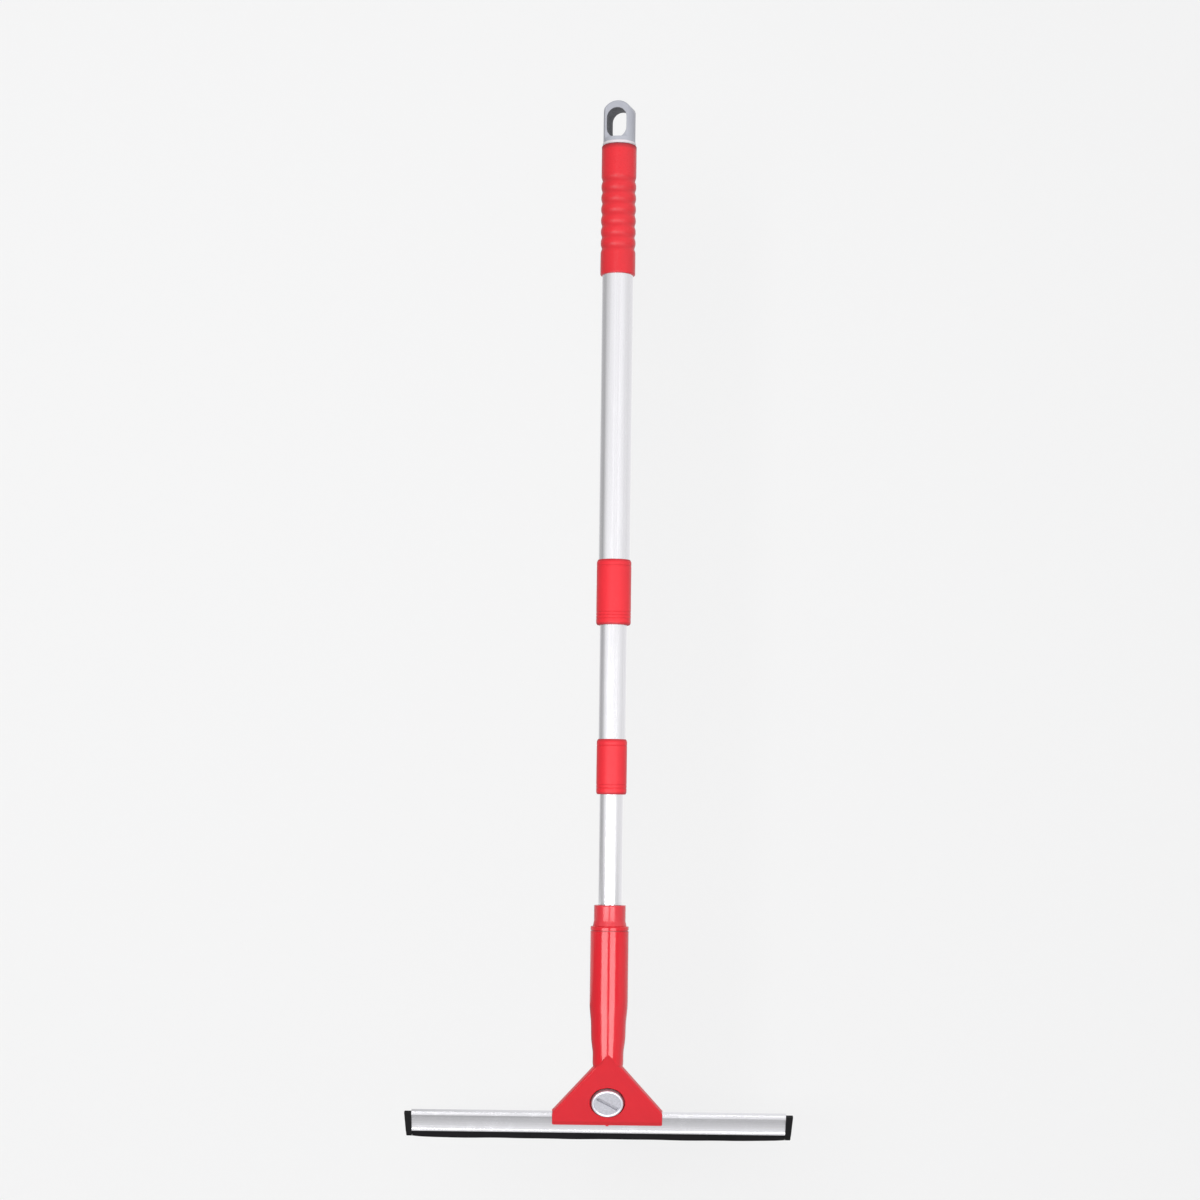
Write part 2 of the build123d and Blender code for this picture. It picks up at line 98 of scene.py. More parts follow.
# %% [markdown]
# ## Units and the leaning head
#
# Blender works in metres here, and a maker thinks in millimetres, so every length is written as a
# number times `MM`. The yoke leans back from the pole by 30 degrees. Its pieces could be drawn
# upright and turned afterwards, but the turn would then have to be worked into each mesh. It is
# simpler to draw them in the yoke's own directions, so these cells find them once: along the
# blade, into the face and up the face. They start from the middle of the face's lower edge.

# %% Lengths and directions
MM = 0.001
HEAD_LEAN = radians(30)
INTO_FACE = np.array([0.0, cos(HEAD_LEAN), sin(HEAD_LEAN)])
UP_FACE = np.array([0.0, -sin(HEAD_LEAN), cos(HEAD_LEAN)])

# %% Where the yoke's face starts
RUBBER_EDGE = -17.5 * MM
RUBBER_FRONT = 5.6 * MM
RUBBER_BACK = 7.4 * MM

blade_low, blade_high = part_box("rubber_blade")
channel_low, channel_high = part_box("squeegee_channel")
BLADE_MIDDLE = (channel_low.x + channel_high.x) / 2
BLADE_LENGTH = channel_high.x - channel_low.x

# The rubber's cut edge lies RUBBER_EDGE up the face. The edge's back corner is the strip's
# rearmost point and its front corner the lowest, so the strip's box gives y from the one and z
# from the other.
FACE_FOOT = np.array([
    0.0,
    blade_high.y - RUBBER_BACK * INTO_FACE[1] - RUBBER_EDGE * UP_FACE[1],
    blade_low.z - RUBBER_FRONT * INTO_FACE[2] - RUBBER_EDGE * UP_FACE[2]])
print("face foot", FACE_FOOT.round(5), "blade", round(BLADE_LENGTH, 4), "m")

# %% [markdown]
# ## The camera
#
# The squeegee is long and thin. A short lens close by would bend its proportions, so a long lens
# looks at it from about two metres. The camera stands a little below the middle of the pole and
# looks slightly up, and it is turned by less than a degree about its own axis, so the pole leans
# a touch to the right.

# %% Camera
CAMERA_PLACE = (-0.011, -1.92, -0.5622)
CAMERA_PITCH = radians(4.776)
CAMERA_ROLL = radians(0.74)
LENS_LENGTH = 72
SENSOR_WIDTH = 36

camera = bpy.data.objects.new("camera", bpy.data.cameras.new("camera"))
camera.data.lens = LENS_LENGTH
camera.data.sensor_width = SENSOR_WIDTH
camera.data.clip_start = 0.05
camera.data.clip_end = 50
turned_up = Matrix.Rotation(pi / 2 + CAMERA_PITCH, 4, "X")
rolled = Matrix.Rotation(CAMERA_ROLL, 4, "Z")
camera.matrix_world = Matrix.Translation(CAMERA_PLACE) @ turned_up @ rolled
scene = bpy.context.scene
scene.collection.objects.link(camera)
scene.camera = camera
scene.view_settings.view_transform = "Standard"
print("camera", round(-CAMERA_PLACE[1], 2), "m in front of the pole")

# %% [markdown]
# ## Turning arrays into meshes
#
# Every new piece is a grid of points. One direction of the grid follows the piece's outline and
# the other follows the way that the outline is carried, round the pole or along the blade. The
# helpers below work on whole arrays. Faces have to point outwards, and a simple test settles that:
# the volume inside a closed mesh comes out negative when its faces point inwards, and then each
# face is read backwards.

# %% Grids of faces
def grid_faces(rows, columns, wrap_rows=False, wrap_columns=False):
    """Join each point of a rows x columns grid to the next along both directions, as quads."""
    i = np.arange(rows if wrap_rows else rows - 1)[:, None]
    j = np.arange(columns if wrap_columns else columns - 1)[None, :]
    next_i, next_j = (i + 1) % rows, (j + 1) % columns
    corners = np.broadcast_arrays(i * columns + j, i * columns + next_j,
                                  next_i * columns + next_j, next_i * columns + j)
    return np.stack(corners, axis=-1).reshape(-1, 4)


def points_outwards(points, faces):
    """True if a closed mesh's volume is above 0: the sum of a . (b x c) / 6 over its triangles."""
    fans = [(face[0], face[k], face[k + 1]) for face in faces for k in range(1, len(face) - 1)]
    a, b, c = np.asarray(points)[np.array(fans)].transpose(1, 0, 2)
    return np.einsum("ij,ij->", a, np.cross(b, c)) > 0


# %% A finished piece from its points and faces
def set_point_values(mesh, name, values):
    """Store one number for each point, which a material can read by its name."""
    attribute = mesh.attributes.new(name, "FLOAT", "POINT")
    attribute.data.foreach_set("value", np.asarray(values, float))


def make_piece(name, points, faces, body, material, replaced=(), sharp_angle=35, painted_shade=None):
    """Put points and faces into a mesh, shade it, and hang it on a body of the frame.

    Its last argument, if given, says for each point how much painted shade darkens it, from 0 to
    1.
    """
    faces = [list(map(int, face)) for face in faces]
    if not points_outwards(points, faces):
        faces = [face[::-1] for face in faces]
    mesh = bpy.data.meshes.new(name)
    mesh.from_pydata(np.asarray(points).tolist(), [], faces)
    mesh.shade_smooth()
    mesh.set_sharp_from_angle(angle=radians(sharp_angle))
    mesh.validate()
    if painted_shade is not None:
        set_point_values(mesh, "painted_shade", painted_shade)
    piece = bpy.data.objects.new(name, mesh)
    scene.collection.objects.link(piece)
    mesh.materials.append(material)
    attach(piece, body)
    if replaced:
        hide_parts(*replaced)
    print(name, len(mesh.vertices), "points,", len(mesh.polygons), "faces")
    return piece


# %% [markdown]
# ## Outlines with rounded corners
#
# No moulded or rolled edge is perfectly sharp, and the thin line of light on a rounded edge is
# much of what makes metal and plastic look real. A Bevel modifier could round them, but it rounds
# every edge alike. Here each corner of an outline is replaced by a short arc with its own radius.
# Smooth shading spreads an arc's tilt over the long flat beside it, so two extra points stand
# close to the ends of every flat and keep it flat.

# %% Rounded outline
def rounded(corners, radius, steps=5, keep=0.25 * MM):
    """Round a closed outline's corners.

    With unit vectors u and v from a corner to its neighbours and h half the angle between them,
    the arc's centre lies r / sin h from the corner along u + v, and it meets the sides
    r / tan h from the corner. The arc's points turn evenly from one meeting point to the other.
    """
    corners = np.asarray(corners, float)
    radius = np.broadcast_to(np.asarray(radius, float), len(corners))
    u = np.roll(corners, 1, axis=0) - corners
    v = np.roll(corners, -1, axis=0) - corners
    u /= np.linalg.norm(u, axis=1)[:, None]
    v /= np.linalg.norm(v, axis=1)[:, None]
    half = np.arccos(np.clip((u * v).sum(axis=1), -1, 1)) / 2
    middle = (u + v) / np.linalg.norm(u + v, axis=1)[:, None]
    centre = corners + middle * (radius / np.sin(half))[:, None]
    reach = (radius / np.tan(half))[:, None]
    first, last = corners + u * reach, corners + v * reach
    sweep = (pi - 2 * half)[:, None, None]
    t = np.linspace(0, 1, steps + 1)[None, :, None]
    arm_a, arm_b = (first - centre)[:, None], (last - centre)[:, None]
    swung = np.sin((1 - t) * sweep) * arm_a + np.sin(t * sweep) * arm_b
    arc = centre[:, None] + swung / np.sin(sweep)
    flat = np.roll(first, -1, axis=0) - last
    length = np.linalg.norm(flat, axis=1)[:, None]
    step = flat / length * np.minimum(keep, length / 4)
    supports = np.stack([last + step, np.roll(first, -1, axis=0) - step], axis=1)
    return np.concatenate([arc, supports], axis=1).reshape(-1, 2)


# %% Carrying an outline round the pole
ROUND = 144


def full_turn(count):
    """Angles evenly spaced over one turn, without the last, which would be the first again."""
    return np.arange(count) * 2 * pi / count


def around_pole(outline, segments=ROUND):
    """Carry a closed (radius, height) outline round Z: x = r cos a, y = r sin a."""
    angle = full_turn(segments)
    radius, height = outline[:, :1], outline[:, 1:]
    points = np.stack([radius * np.cos(angle), radius * np.sin(angle),
                       np.broadcast_to(height, (len(outline), segments))], axis=-1)
    return points.reshape(-1, 3), grid_faces(len(outline), segments, True, True)


def distance_from_pole(points):
    """The square root of x squared + y squared."""
    return np.hypot(points[:, 0], points[:, 1])


# %% Carrying an outline along the blade
def along_blade(outline, stations, bend=None):
    """Carry a closed (depth, height) outline on the yoke's face along X, and close both ends.

    bend(x, height) may push the outline deeper, as whole arrays.
    """
    stations = np.asarray(stations, float)
    depth = np.repeat(outline[None, :, 0], len(stations), axis=0)
    height = np.repeat(outline[None, :, 1], len(stations), axis=0)
    if bend:
        depth = depth + bend(stations[:, None], height)
    points = FACE_FOOT + depth[..., None] * INTO_FACE + height[..., None] * UP_FACE
    points[:, :, 0] = stations[:, None]
    count = len(outline)
    faces = grid_faces(len(stations), count, False, True).tolist()
    faces.append(list(range(count))[::-1])
    faces.append(list(range((len(stations) - 1) * count, len(stations) * count)))
    return points.reshape(-1, 3), faces


# %% [markdown]
# ## Shader helpers
#
# Materials are built from nodes in code. One small helper adds a node and fills its inputs, which
# keeps the recipes below short enough to read.

# %% Adding nodes
def add_node(tree, kind, inputs=None, **options):
    """Add a node, set its options, and fill its inputs with values or other nodes' outputs."""
    node = tree.nodes.new(kind)
    for option, value in options.items():
        setattr(node, option, value)
    for key, value in (inputs or {}).items():
        if isinstance(value, bpy.types.NodeSocket):
            tree.links.new(value, node.inputs[key])
        else:
            node.inputs[key].default_value = value
    return node


def connect(tree, pairs):
    """Link (from, to) pairs of sockets."""
    for source, target in pairs:
        tree.links.new(source, target)


# %% Numbers, patterns and colours in nodes
def calculate(tree, operation, first, second=0.0, clamp=False):
    """One Math node."""
    return add_node(tree, "ShaderNodeMath", {0: first, 1: second},
                    operation=operation, use_clamp=clamp).outputs[0]


def noise(tree, vector, scale, detail=2.0, roughness=0.5):
    """A Noise Texture's grey value, from 0 to 1."""
    return add_node(tree, "ShaderNodeTexNoise",
                    {"Vector": vector, "Scale": scale, "Detail": detail, "Roughness": roughness},
                    ).outputs["Fac"]


def remap(tree, value, span, result):
    """Map Range: the span (low, high) becomes the result (at low, at high), clamped."""
    return add_node(tree, "ShaderNodeMapRange",
                    {"Value": value, "From Min": span[0], "From Max": span[1],
                     "To Min": result[0], "To Max": result[1]}).outputs["Result"]


def mix_colour(tree, factor, first, second):
    """Blend two colours by a factor from 0 to 1."""
    return add_node(tree, "ShaderNodeMix", {0: factor, 6: first, 7: second},
                    data_type="RGBA").outputs[2]


# %% Starting a node group
def start_group(name, inputs, outputs):
    """A shader node group with named sockets. Returns it, its inputs and its outputs to fill."""
    kinds = {"vector": "NodeSocketVector", "colour": "NodeSocketColor", "value": "NodeSocketFloat"}
    group = bpy.data.node_groups.new(name, "ShaderNodeTree")
    for label, kind, default in inputs:
        socket = group.interface.new_socket(name=label, in_out="INPUT", socket_type=kinds[kind])
        if default is not None:
            socket.default_value = default
    for label, kind in outputs:
        group.interface.new_socket(name=label, in_out="OUTPUT", socket_type=kinds[kind])
    entry = group.nodes.new("NodeGroupInput").outputs
    leave = group.nodes.new("NodeGroupOutput").inputs
    return group, entry, leave


# %% [markdown]
# ## Effects that several finishes share
#
# Each effect could be drawn again in every material that shows it. As a node group it is built
# once and used with different amounts, and a change to it reaches every finish. Five small ones
# cover nearly everything on this tool:
#
# - *moulded skin*: injection moulded plastic is never quite even. Its colour drifts a little, and
#   a spark-eroded mould leaves a very fine grain.
# - *drawn lines*: aluminium that is pulled through a die keeps fine straight lines along its
#   length, some dull and some bright.
# - *handling marks*: smudges and faint scratches that change only the gloss.
# - *painted shade*: a speckled darkness painted where shade falls, in a slot, in a hole or under
#   an edge. It dulls metal.
# - *mould seam*: the hair-fine raised line where two halves of a mould met.

# %% Moulded skin
SHADED_PIGMENT = (0.02, 0.015, 0.02, 1)

skin, put, get = start_group(
    "moulded_skin",
    [("Vector", "vector", None), ("Colour", "colour", (0.5, 0.5, 0.5, 1)),
     ("Drift", "value", 0.06), ("Grain Scale", "value", 2500.0), ("Grain", "value", 0.3),
     ("Roughness", "value", 0.4)],
    [("Colour", "colour"), ("Roughness", "value"), ("Height", "value")])
cloud = noise(skin, put["Vector"], scale=24.0, detail=3.0)
grain = noise(skin, put["Vector"], scale=put["Grain Scale"], detail=2.0, roughness=0.6)
darker = calculate(skin, "MULTIPLY", put["Drift"], calculate(skin, "SUBTRACT", cloud, 0.35))
shade = calculate(skin, "MULTIPLY", darker, 4.0, clamp=True)
shaded = mix_colour(skin, shade, put["Colour"], SHADED_PIGMENT)
speck = calculate(skin, "MULTIPLY", calculate(skin, "SUBTRACT", grain, 0.5), put["Grain"])
rough = calculate(skin, "ADD", put["Roughness"], calculate(skin, "MULTIPLY", speck, 0.25))
rough = calculate(skin, "ADD", rough, remap(skin, cloud, (0.3, 0.7), (-0.02, 0.02)), clamp=True)
connect(skin, [(shaded, get["Colour"]), (rough, get["Roughness"]), (speck, get["Height"])])

# %% Drawn lines
DULL_ALUMINIUM = (0.35, 0.36, 0.38, 1)

lines, put, get = start_group(
    "drawn_lines",
    [("Vector", "vector", None), ("Colour", "colour", (0.8, 0.8, 0.8, 1)),
     ("Strength", "value", 0.5), ("Roughness", "value", 0.3)],
    [("Colour", "colour"), ("Roughness", "value"), ("Height", "value")])
broad = noise(lines, put["Vector"], scale=1.0, detail=4.0, roughness=0.6)
fine = noise(lines, put["Vector"], scale=6.0, detail=3.0, roughness=0.7)
both = calculate(lines, "ADD", calculate(lines, "MULTIPLY", broad, 0.5),
                 calculate(lines, "MULTIPLY", fine, 0.5))
swing = calculate(lines, "MULTIPLY", calculate(lines, "SUBTRACT", both, 0.5), put["Strength"])
dull = mix_colour(lines, remap(lines, swing, (-0.12, 0.12), (0.10, 0.0)), put["Colour"],
                  DULL_ALUMINIUM)
rough = calculate(lines, "ADD", put["Roughness"], calculate(lines, "MULTIPLY", swing, 0.9), True)
connect(lines, [(dull, get["Colour"]), (rough, get["Roughness"]), (swing, get["Height"])])

# %% Handling marks
SMEAR_STRETCH = (60.0, 60.0, 18.0)
SCRATCH_STRETCH = (1400.0, 1400.0, 45.0)
SCRATCH_SLANT = (0.4, 0.9, 0.6)

marks, put, get = start_group(
    "handling_marks",
    [("Vector", "vector", None), ("Roughness", "value", 0.3), ("Smudge", "value", 0.1),
     ("Scratch", "value", 0.1)],
    [("Roughness", "value")])
smear = add_node(marks, "ShaderNodeMapping", {"Vector": put["Vector"], "Scale": SMEAR_STRETCH})
patch = noise(marks, smear.outputs[0], scale=1.0, detail=3.0, roughness=0.6)
patch = remap(marks, patch, (0.52, 0.70), (0.0, 1.0))
slant = add_node(marks, "ShaderNodeMapping",
                 {"Vector": put["Vector"], "Rotation": SCRATCH_SLANT, "Scale": SCRATCH_STRETCH})
scratch = noise(marks, slant.outputs[0], scale=1.0, detail=1.0)
scratch = remap(marks, scratch, (0.70, 0.78), (0.0, 1.0))
rough = calculate(marks, "ADD", put["Roughness"],
                  calculate(marks, "MULTIPLY", patch, put["Smudge"]))
rough = calculate(marks, "ADD", rough,
                  calculate(marks, "MULTIPLY", scratch, put["Scratch"]), clamp=True)
connect(marks, [(rough, get["Roughness"])])

# %% Painted shade
# The dark colour that painted shade mixes in.
SHADE_COLOUR = (0.020, 0.018, 0.022, 1)

painted_shade_group, put, get = start_group(
    "painted_shade_group",
    [("Vector", "vector", None), ("Amount", "value", 0.0),
     ("Colour", "colour", (0.5, 0.5, 0.5, 1)), ("Roughness", "value", 0.4)],
    [("Colour", "colour"), ("Roughness", "value"), ("Bare", "value")])
speckle = noise(painted_shade_group, put["Vector"], scale=900.0, detail=3.0)
speckle = remap(painted_shade_group, speckle, (0.35, 0.6), (0.75, 1.0))
cover = calculate(painted_shade_group, "MULTIPLY", put["Amount"], speckle, clamp=True)
dirty = mix_colour(painted_shade_group, cover, put["Colour"], SHADE_COLOUR)
rough = calculate(painted_shade_group, "ADD", put["Roughness"],
                  calculate(painted_shade_group, "MULTIPLY", cover, 0.5), clamp=True)
connect(painted_shade_group, [(dirty, get["Colour"]), (rough, get["Roughness"]),
                (calculate(painted_shade_group, "SUBTRACT", 1.0, cover), get["Bare"])])

# %% Mould seam
seam, put, get = start_group(
    "mould_seam", [("Vector", "vector", None), ("Half Width", "value", 0.18 * MM)],
    [("Height", "value")])
across = add_node(seam, "ShaderNodeSeparateXYZ", {"Vector": put["Vector"]}).outputs["Y"]
away = calculate(seam, "DIVIDE", calculate(seam, "ABSOLUTE", across), put["Half Width"])
ridge = calculate(seam, "SUBTRACT", 1.0, away, clamp=True)
connect(seam, [(ridge, get["Height"])])
print("node groups:", [group.name for group in bpy.data.node_groups])

# %% [markdown]
# ## Finishes
#
# Each finish is one material, and two recipes make them all: one for moulded plastic and rubber,
# one for drawn or extruded metal. Numbers that are the same all over the surface go straight onto
# the Principled shader's sockets. Only what changes over the surface, such as the colour's drift,
# the roughness and the fine relief, comes through the groups.

# %% Parts of a recipe
def use_group(tree, group, inputs):
    """Place a node group with its own values."""
    return add_node(tree, "ShaderNodeGroup", inputs, node_tree=group).outputs


def start_material(name, **sockets):
    """A material whose Principled shader has these fixed values. Returns what recipes need."""
    material = bpy.data.materials.new(name)
    material.use_nodes = True
    tree = material.node_tree
    shader = tree.nodes["Principled BSDF"]
    for label, value in sockets.items():
        shader.inputs[label.replace("_", " ")].default_value = value
    place = tree.nodes.new("ShaderNodeTexCoord").outputs["Object"]
    return material, tree, shader, place


def relief(tree, shader, height, depth):
    """Feed a height, in parts of a depth in metres, to the shader's normal."""
    bump = add_node(tree, "ShaderNodeBump", {"Height": height, "Distance": depth, "Strength": 1.0})
    tree.links.new(bump.outputs["Normal"], shader.inputs["Normal"])


def point_painted_shade(tree, place):
    """The painted shade that a mesh carries on its points. It is 0 on a mesh without any."""
    return add_node(tree, "ShaderNodeAttribute", attribute_name="painted_shade").outputs["Fac"]


# %% Plastic finish
def plastic(name, colour, roughness, drift=0.05, grain=0.4, grain_size=0.4 * MM, depth=0.01 * MM,
            smudge=0.05, scratch=0.04, seam_height=0.0, painted_shade=point_painted_shade, **sockets):
    """Moulded plastic: a drifting colour, fine grain, handling marks, painted shade and a mould
    seam.
    """
    material, tree, shader, place = start_material(name, **sockets)
    surface = use_group(tree, skin, {
        "Vector": place, "Colour": (*colour, 1), "Drift": drift,
        "Grain Scale": 1 / grain_size, "Grain": grain, "Roughness": roughness})
    handled = use_group(tree, marks, {
        "Vector": place, "Roughness": surface["Roughness"], "Smudge": smudge, "Scratch": scratch})
    with_painted_shade = use_group(tree, painted_shade_group, {
        "Vector": place, "Amount": painted_shade(tree, place), "Colour": surface["Colour"],
        "Roughness": handled["Roughness"]})
    line = use_group(tree, seam, {"Vector": place})["Height"]
    height = calculate(tree, "ADD", surface["Height"],
                       calculate(tree, "MULTIPLY", line, seam_height))
    connect(tree, [(with_painted_shade["Colour"], shader.inputs["Base Color"]),
                   (with_painted_shade["Roughness"], shader.inputs["Roughness"])])
    relief(tree, shader, height, depth)
    return material


# %% Metal finish
LINE_STRETCH = {"X": (2.0, 700.0, 700.0), "Z": (700.0, 700.0, 2.0)}


def drawn_metal(name, colour, roughness, along, strength=0.5, depth=0.004 * MM,
                smudge=0.05, scratch=0.08, **sockets):
    """Drawn or extruded metal, with its lines along one axis: "X" or "Z"."""
    material, tree, shader, place = start_material(name, **sockets)
    stretched = add_node(tree, "ShaderNodeMapping",
                         {"Vector": place, "Scale": LINE_STRETCH[along]})
    surface = use_group(tree, lines, {
        "Vector": stretched.outputs[0], "Colour": (*colour, 1), "Strength": strength,
        "Roughness": roughness})
    handled = use_group(tree, marks, {
        "Vector": place, "Roughness": surface["Roughness"], "Smudge": smudge, "Scratch": scratch})
    # Painted shade read from the mesh's points darkens this metal and dulls it.
    with_painted_shade = use_group(tree, painted_shade_group, {
        "Vector": place, "Amount": point_painted_shade(tree, place), "Colour": surface["Colour"],
        "Roughness": handled["Roughness"]})
    connect(tree, [(with_painted_shade["Colour"], shader.inputs["Base Color"]),
                   (with_painted_shade["Bare"], shader.inputs["Metallic"]),
                   (with_painted_shade["Roughness"], shader.inputs["Roughness"])])
    relief(tree, shader, surface["Height"], depth)
    return material


# %% [markdown]
# ## Painted shade on two CAD pieces
#
# The handle and the cap keep their CAD meshes, which carry no painted shade on their points. Their
# painted shade is worked out in the material instead, from how near a place is to the recess, the
# groove or the hole. A Mapping node turns the place into that feature's own axes first.

# %% Distances in a shader
def own_axes(tree, place, centre, rotation):
    """Coordinates from a centre along turned axes, as three outputs."""
    turned = add_node(tree, "ShaderNodeMapping",
                      {"Vector": place, "Location": centre, "Rotation": rotation},
                      vector_type="TEXTURE")
    return add_node(tree, "ShaderNodeSeparateXYZ", {"Vector": turned.outputs[0]}).outputs


def distance(tree, first, second):
    """The square root of first squared + second squared."""
    squares = calculate(tree, "ADD", calculate(tree, "POWER", first, 2.0),
                        calculate(tree, "POWER", second, 2.0))
    return calculate(tree, "SQRT", squares)


# %% Painted shade in the handle's recess and groove
SCREW_HEIGHT = 22.8 * MM
SCREW_CENTRE = FACE_FOOT + SCREW_HEIGHT * UP_FACE
RECESS_RADIUS = 14.2 * MM
RECESS_SHADE = 0.45
RIM_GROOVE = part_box("squeegee_handle")[1].z - 3.5 * MM
RIM_GROOVE_HALF = 0.45 * MM
RIM_GROOVE_SHADE = 0.32


def handle_painted_shade(tree, place):
    """Painted shade in the recess under the screw's head, and in the groove near the handle's top.

    The recess is near the screw's axis, and it reaches from its floor up to just below the face.
    """
    across, up, out = own_axes(tree, place, tuple(SCREW_CENTRE), (pi / 2 + HEAD_LEAN, 0, 0))
    near = remap(tree, distance(tree, across, up),
                 (RECESS_RADIUS, RECESS_RADIUS + 0.3 * MM), (RECESS_SHADE, 0.0))
    above_floor = remap(tree, out, (-5 * MM, -4.9 * MM), (0.0, 1.0))
    recess = calculate(tree, "MULTIPLY", calculate(tree, "MULTIPLY", near, above_floor),
                       remap(tree, out, (-0.4 * MM, -0.1 * MM), (1.0, 0.0)))
    height = add_node(tree, "ShaderNodeSeparateXYZ", {"Vector": place}).outputs["Z"]
    away = calculate(tree, "ABSOLUTE", calculate(tree, "SUBTRACT", height, RIM_GROOVE))
    groove = remap(tree, away, (RIM_GROOVE_HALF, RIM_GROOVE_HALF + 0.1 * MM),
                   (RIM_GROOVE_SHADE, 0.0))
    return calculate(tree, "MAXIMUM", recess, groove)


# %% Painted shade on the hanging hole's wall
HOLE_TURN = radians(-17)
HOLE_RADIUS = 8.3 * MM
HOLE_MIDDLE = -12.45 * MM
HOLE_STRAIGHT = 4.15 * MM
HOLE_SHADE = 0.68


def hole_painted_shade(tree, place):
    """Painted shade on the hanging hole's wall.

    The hole is a slot. A place on its wall is HOLE_RADIUS from the slot's middle line, which
    reaches HOLE_STRAIGHT up and down from HOLE_MIDDLE.
    """
    across, _, up = own_axes(tree, place, (0, 0, HOLE_MIDDLE), (0, 0, HOLE_TURN))
    past_line = calculate(tree, "SUBTRACT", calculate(tree, "ABSOLUTE", up), HOLE_STRAIGHT)
    away = distance(tree, across, calculate(tree, "MAXIMUM", past_line, 0.0))
    return remap(tree, away, (HOLE_RADIUS + 0.03 * MM, HOLE_RADIUS + 0.15 * MM),
                 (HOLE_SHADE, 0.0))


# %% The finishes themselves
handle_red = plastic("handle_red", (0.77, 0.011, 0.024), 0.12, drift=0.04, grain=0.10,
                     grain_size=1.6 * MM, depth=0.02 * MM, smudge=0.05, scratch=0.05,
                     seam_height=1.2, painted_shade=handle_painted_shade)
tip_red = plastic("tip_red", (0.76, 0.014, 0.030), 0.20, drift=0.04, grain=0.15,
                  seam_height=0.8, Specular_IOR_Level=0.8)
collar_red = plastic("collar_red", (0.86, 0.026, 0.040), 0.36, drift=0.05, grain=0.35,
                     seam_height=0.8, Specular_IOR_Level=0.35)
grip_red = plastic("grip_red", (0.75, 0.023, 0.034), 0.30, drift=0.08, grain=0.8,
                   grain_size=0.5 * MM, depth=0.03 * MM, smudge=0.10, scratch=0.0,
                   Specular_IOR_Level=0.42)
cap_grey = plastic("cap_grey", (0.44, 0.45, 0.50), 0.36, drift=0.05, grain=0.5,
                   seam_height=0.6, painted_shade=hole_painted_shade)
# The bead's pale colour is a painted highlight, lighter than the cap's grey.
bead_painted_highlight = plastic("bead_painted_highlight", (0.74, 0.69, 0.72), 0.30, drift=0.05, grain=0.3)
lock_black = plastic("lock_black", (0.03, 0.03, 0.033), 0.5)
ring_white = plastic("ring_white", (0.78, 0.78, 0.74), 0.5)
end_black = plastic("end_black", (0.004, 0.004, 0.005), 0.38, drift=0.1, grain=0.7,
                    grain_size=0.3 * MM, Specular_IOR_Level=0.2)
rubber_black = plastic("rubber_black", (0.004, 0.004, 0.005), 0.50, drift=0.2, grain=0.6,
                       grain_size=0.25 * MM, smudge=0.12, scratch=0.0, Specular_IOR_Level=0.12)
tube_metal = drawn_metal("tube_metal", (0.895, 0.888, 0.918), 0.25, "Z")
channel_metal = drawn_metal("channel_metal", (0.86, 0.855, 0.89), 0.23, "X", depth=0.0005 * MM)
screw_metal = drawn_metal("screw_metal", (0.86, 0.86, 0.93), 0.40, "X", strength=0.3)
fixing_steel = drawn_metal("fixing_steel", (0.60, 0.60, 0.60), 0.30, "X", strength=0.4)
print("materials:", len(bpy.data.materials))

# %% [markdown]
# ## Dressing the CAD pieces that stay
#
# A CAD piece whose shape is already right keeps its mesh, and its finish goes into its object's
# material slot. These are the cap, the handle, the channel's end caps and the hidden pieces.

# %% CAD pieces and their finishes
finish_of = {
    "hang_cap": cap_grey, "squeegee_handle": handle_red,
    "end_cap_left": end_black, "end_cap_right": end_black,
    "clamp_washer": fixing_steel, "clamp_nut": fixing_steel,
    "upper_cam_plug": lock_black, "lower_cam_plug": lock_black,
    "upper_cam_ring": ring_white, "lower_cam_ring": ring_white}
for name, material in finish_of.items():
    nodes[name].data.materials.clear()
    nodes[name].data.materials.append(material)
print("dressed", len(finish_of), "CAD pieces")

# %% [markdown]
# ## Tubes
#
# Aluminium tubes are drawn, so their walls are even and their cut ends are lightly broken. A
# cylinder with a Solidify modifier would have sharp ends. Here a tube's whole section, outer
# wall, lower lip, bore and upper lip, is one closed outline carried round the pole, so both lips
# are rounded. The CAD pieces say how wide and how long the tubes are.

# %% Tubes
TUBES = {"outer_tube": ("outer_section", 1.0 * MM),
         "middle_tube": ("middle_section", 0.9 * MM),
         "inner_tube": ("inner_section", 0.8 * MM)}
TUBE_EDGE = 0.25 * MM
TUBE_KEEP = 2 * MM

for name, (body, wall) in TUBES.items():
    low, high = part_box(name)
    bore = high.x - wall
    corners = [(high.x, low.z), (high.x, high.z), (bore, high.z), (bore, low.z)]
    points, faces = around_pole(rounded(corners, TUBE_EDGE, keep=TUBE_KEEP))
    make_piece(name + "_drawn", points, faces, body, tube_metal, [name])

# %% [markdown]
# ## Collars
#
# A collar is a moulded sleeve. It is bored wide at the top, where it holds one tube, and narrow
# below, where the next tube slides. Fine rings are sunk into its outside. They could be painted
# as bump, but bump vanishes at the silhouette, where a real ring shows as a notch. So the outline
# starts as a row of corners, and each ring adds a small V to it. Painted shade darkens the rings
# and both ends, where the collar meets the tubes.

# %% A collar's outline
RING_WIDTH = 0.8 * MM
RING_DEPTH = 0.35 * MM
RING_INSET = 5.0 * MM
RING_PITCH = 2.6 * MM
EDGE_CUT = 0.9 * MM
TOP_EDGE = 2.0 * MM
BOTTOM_EDGE = 1.5 * MM


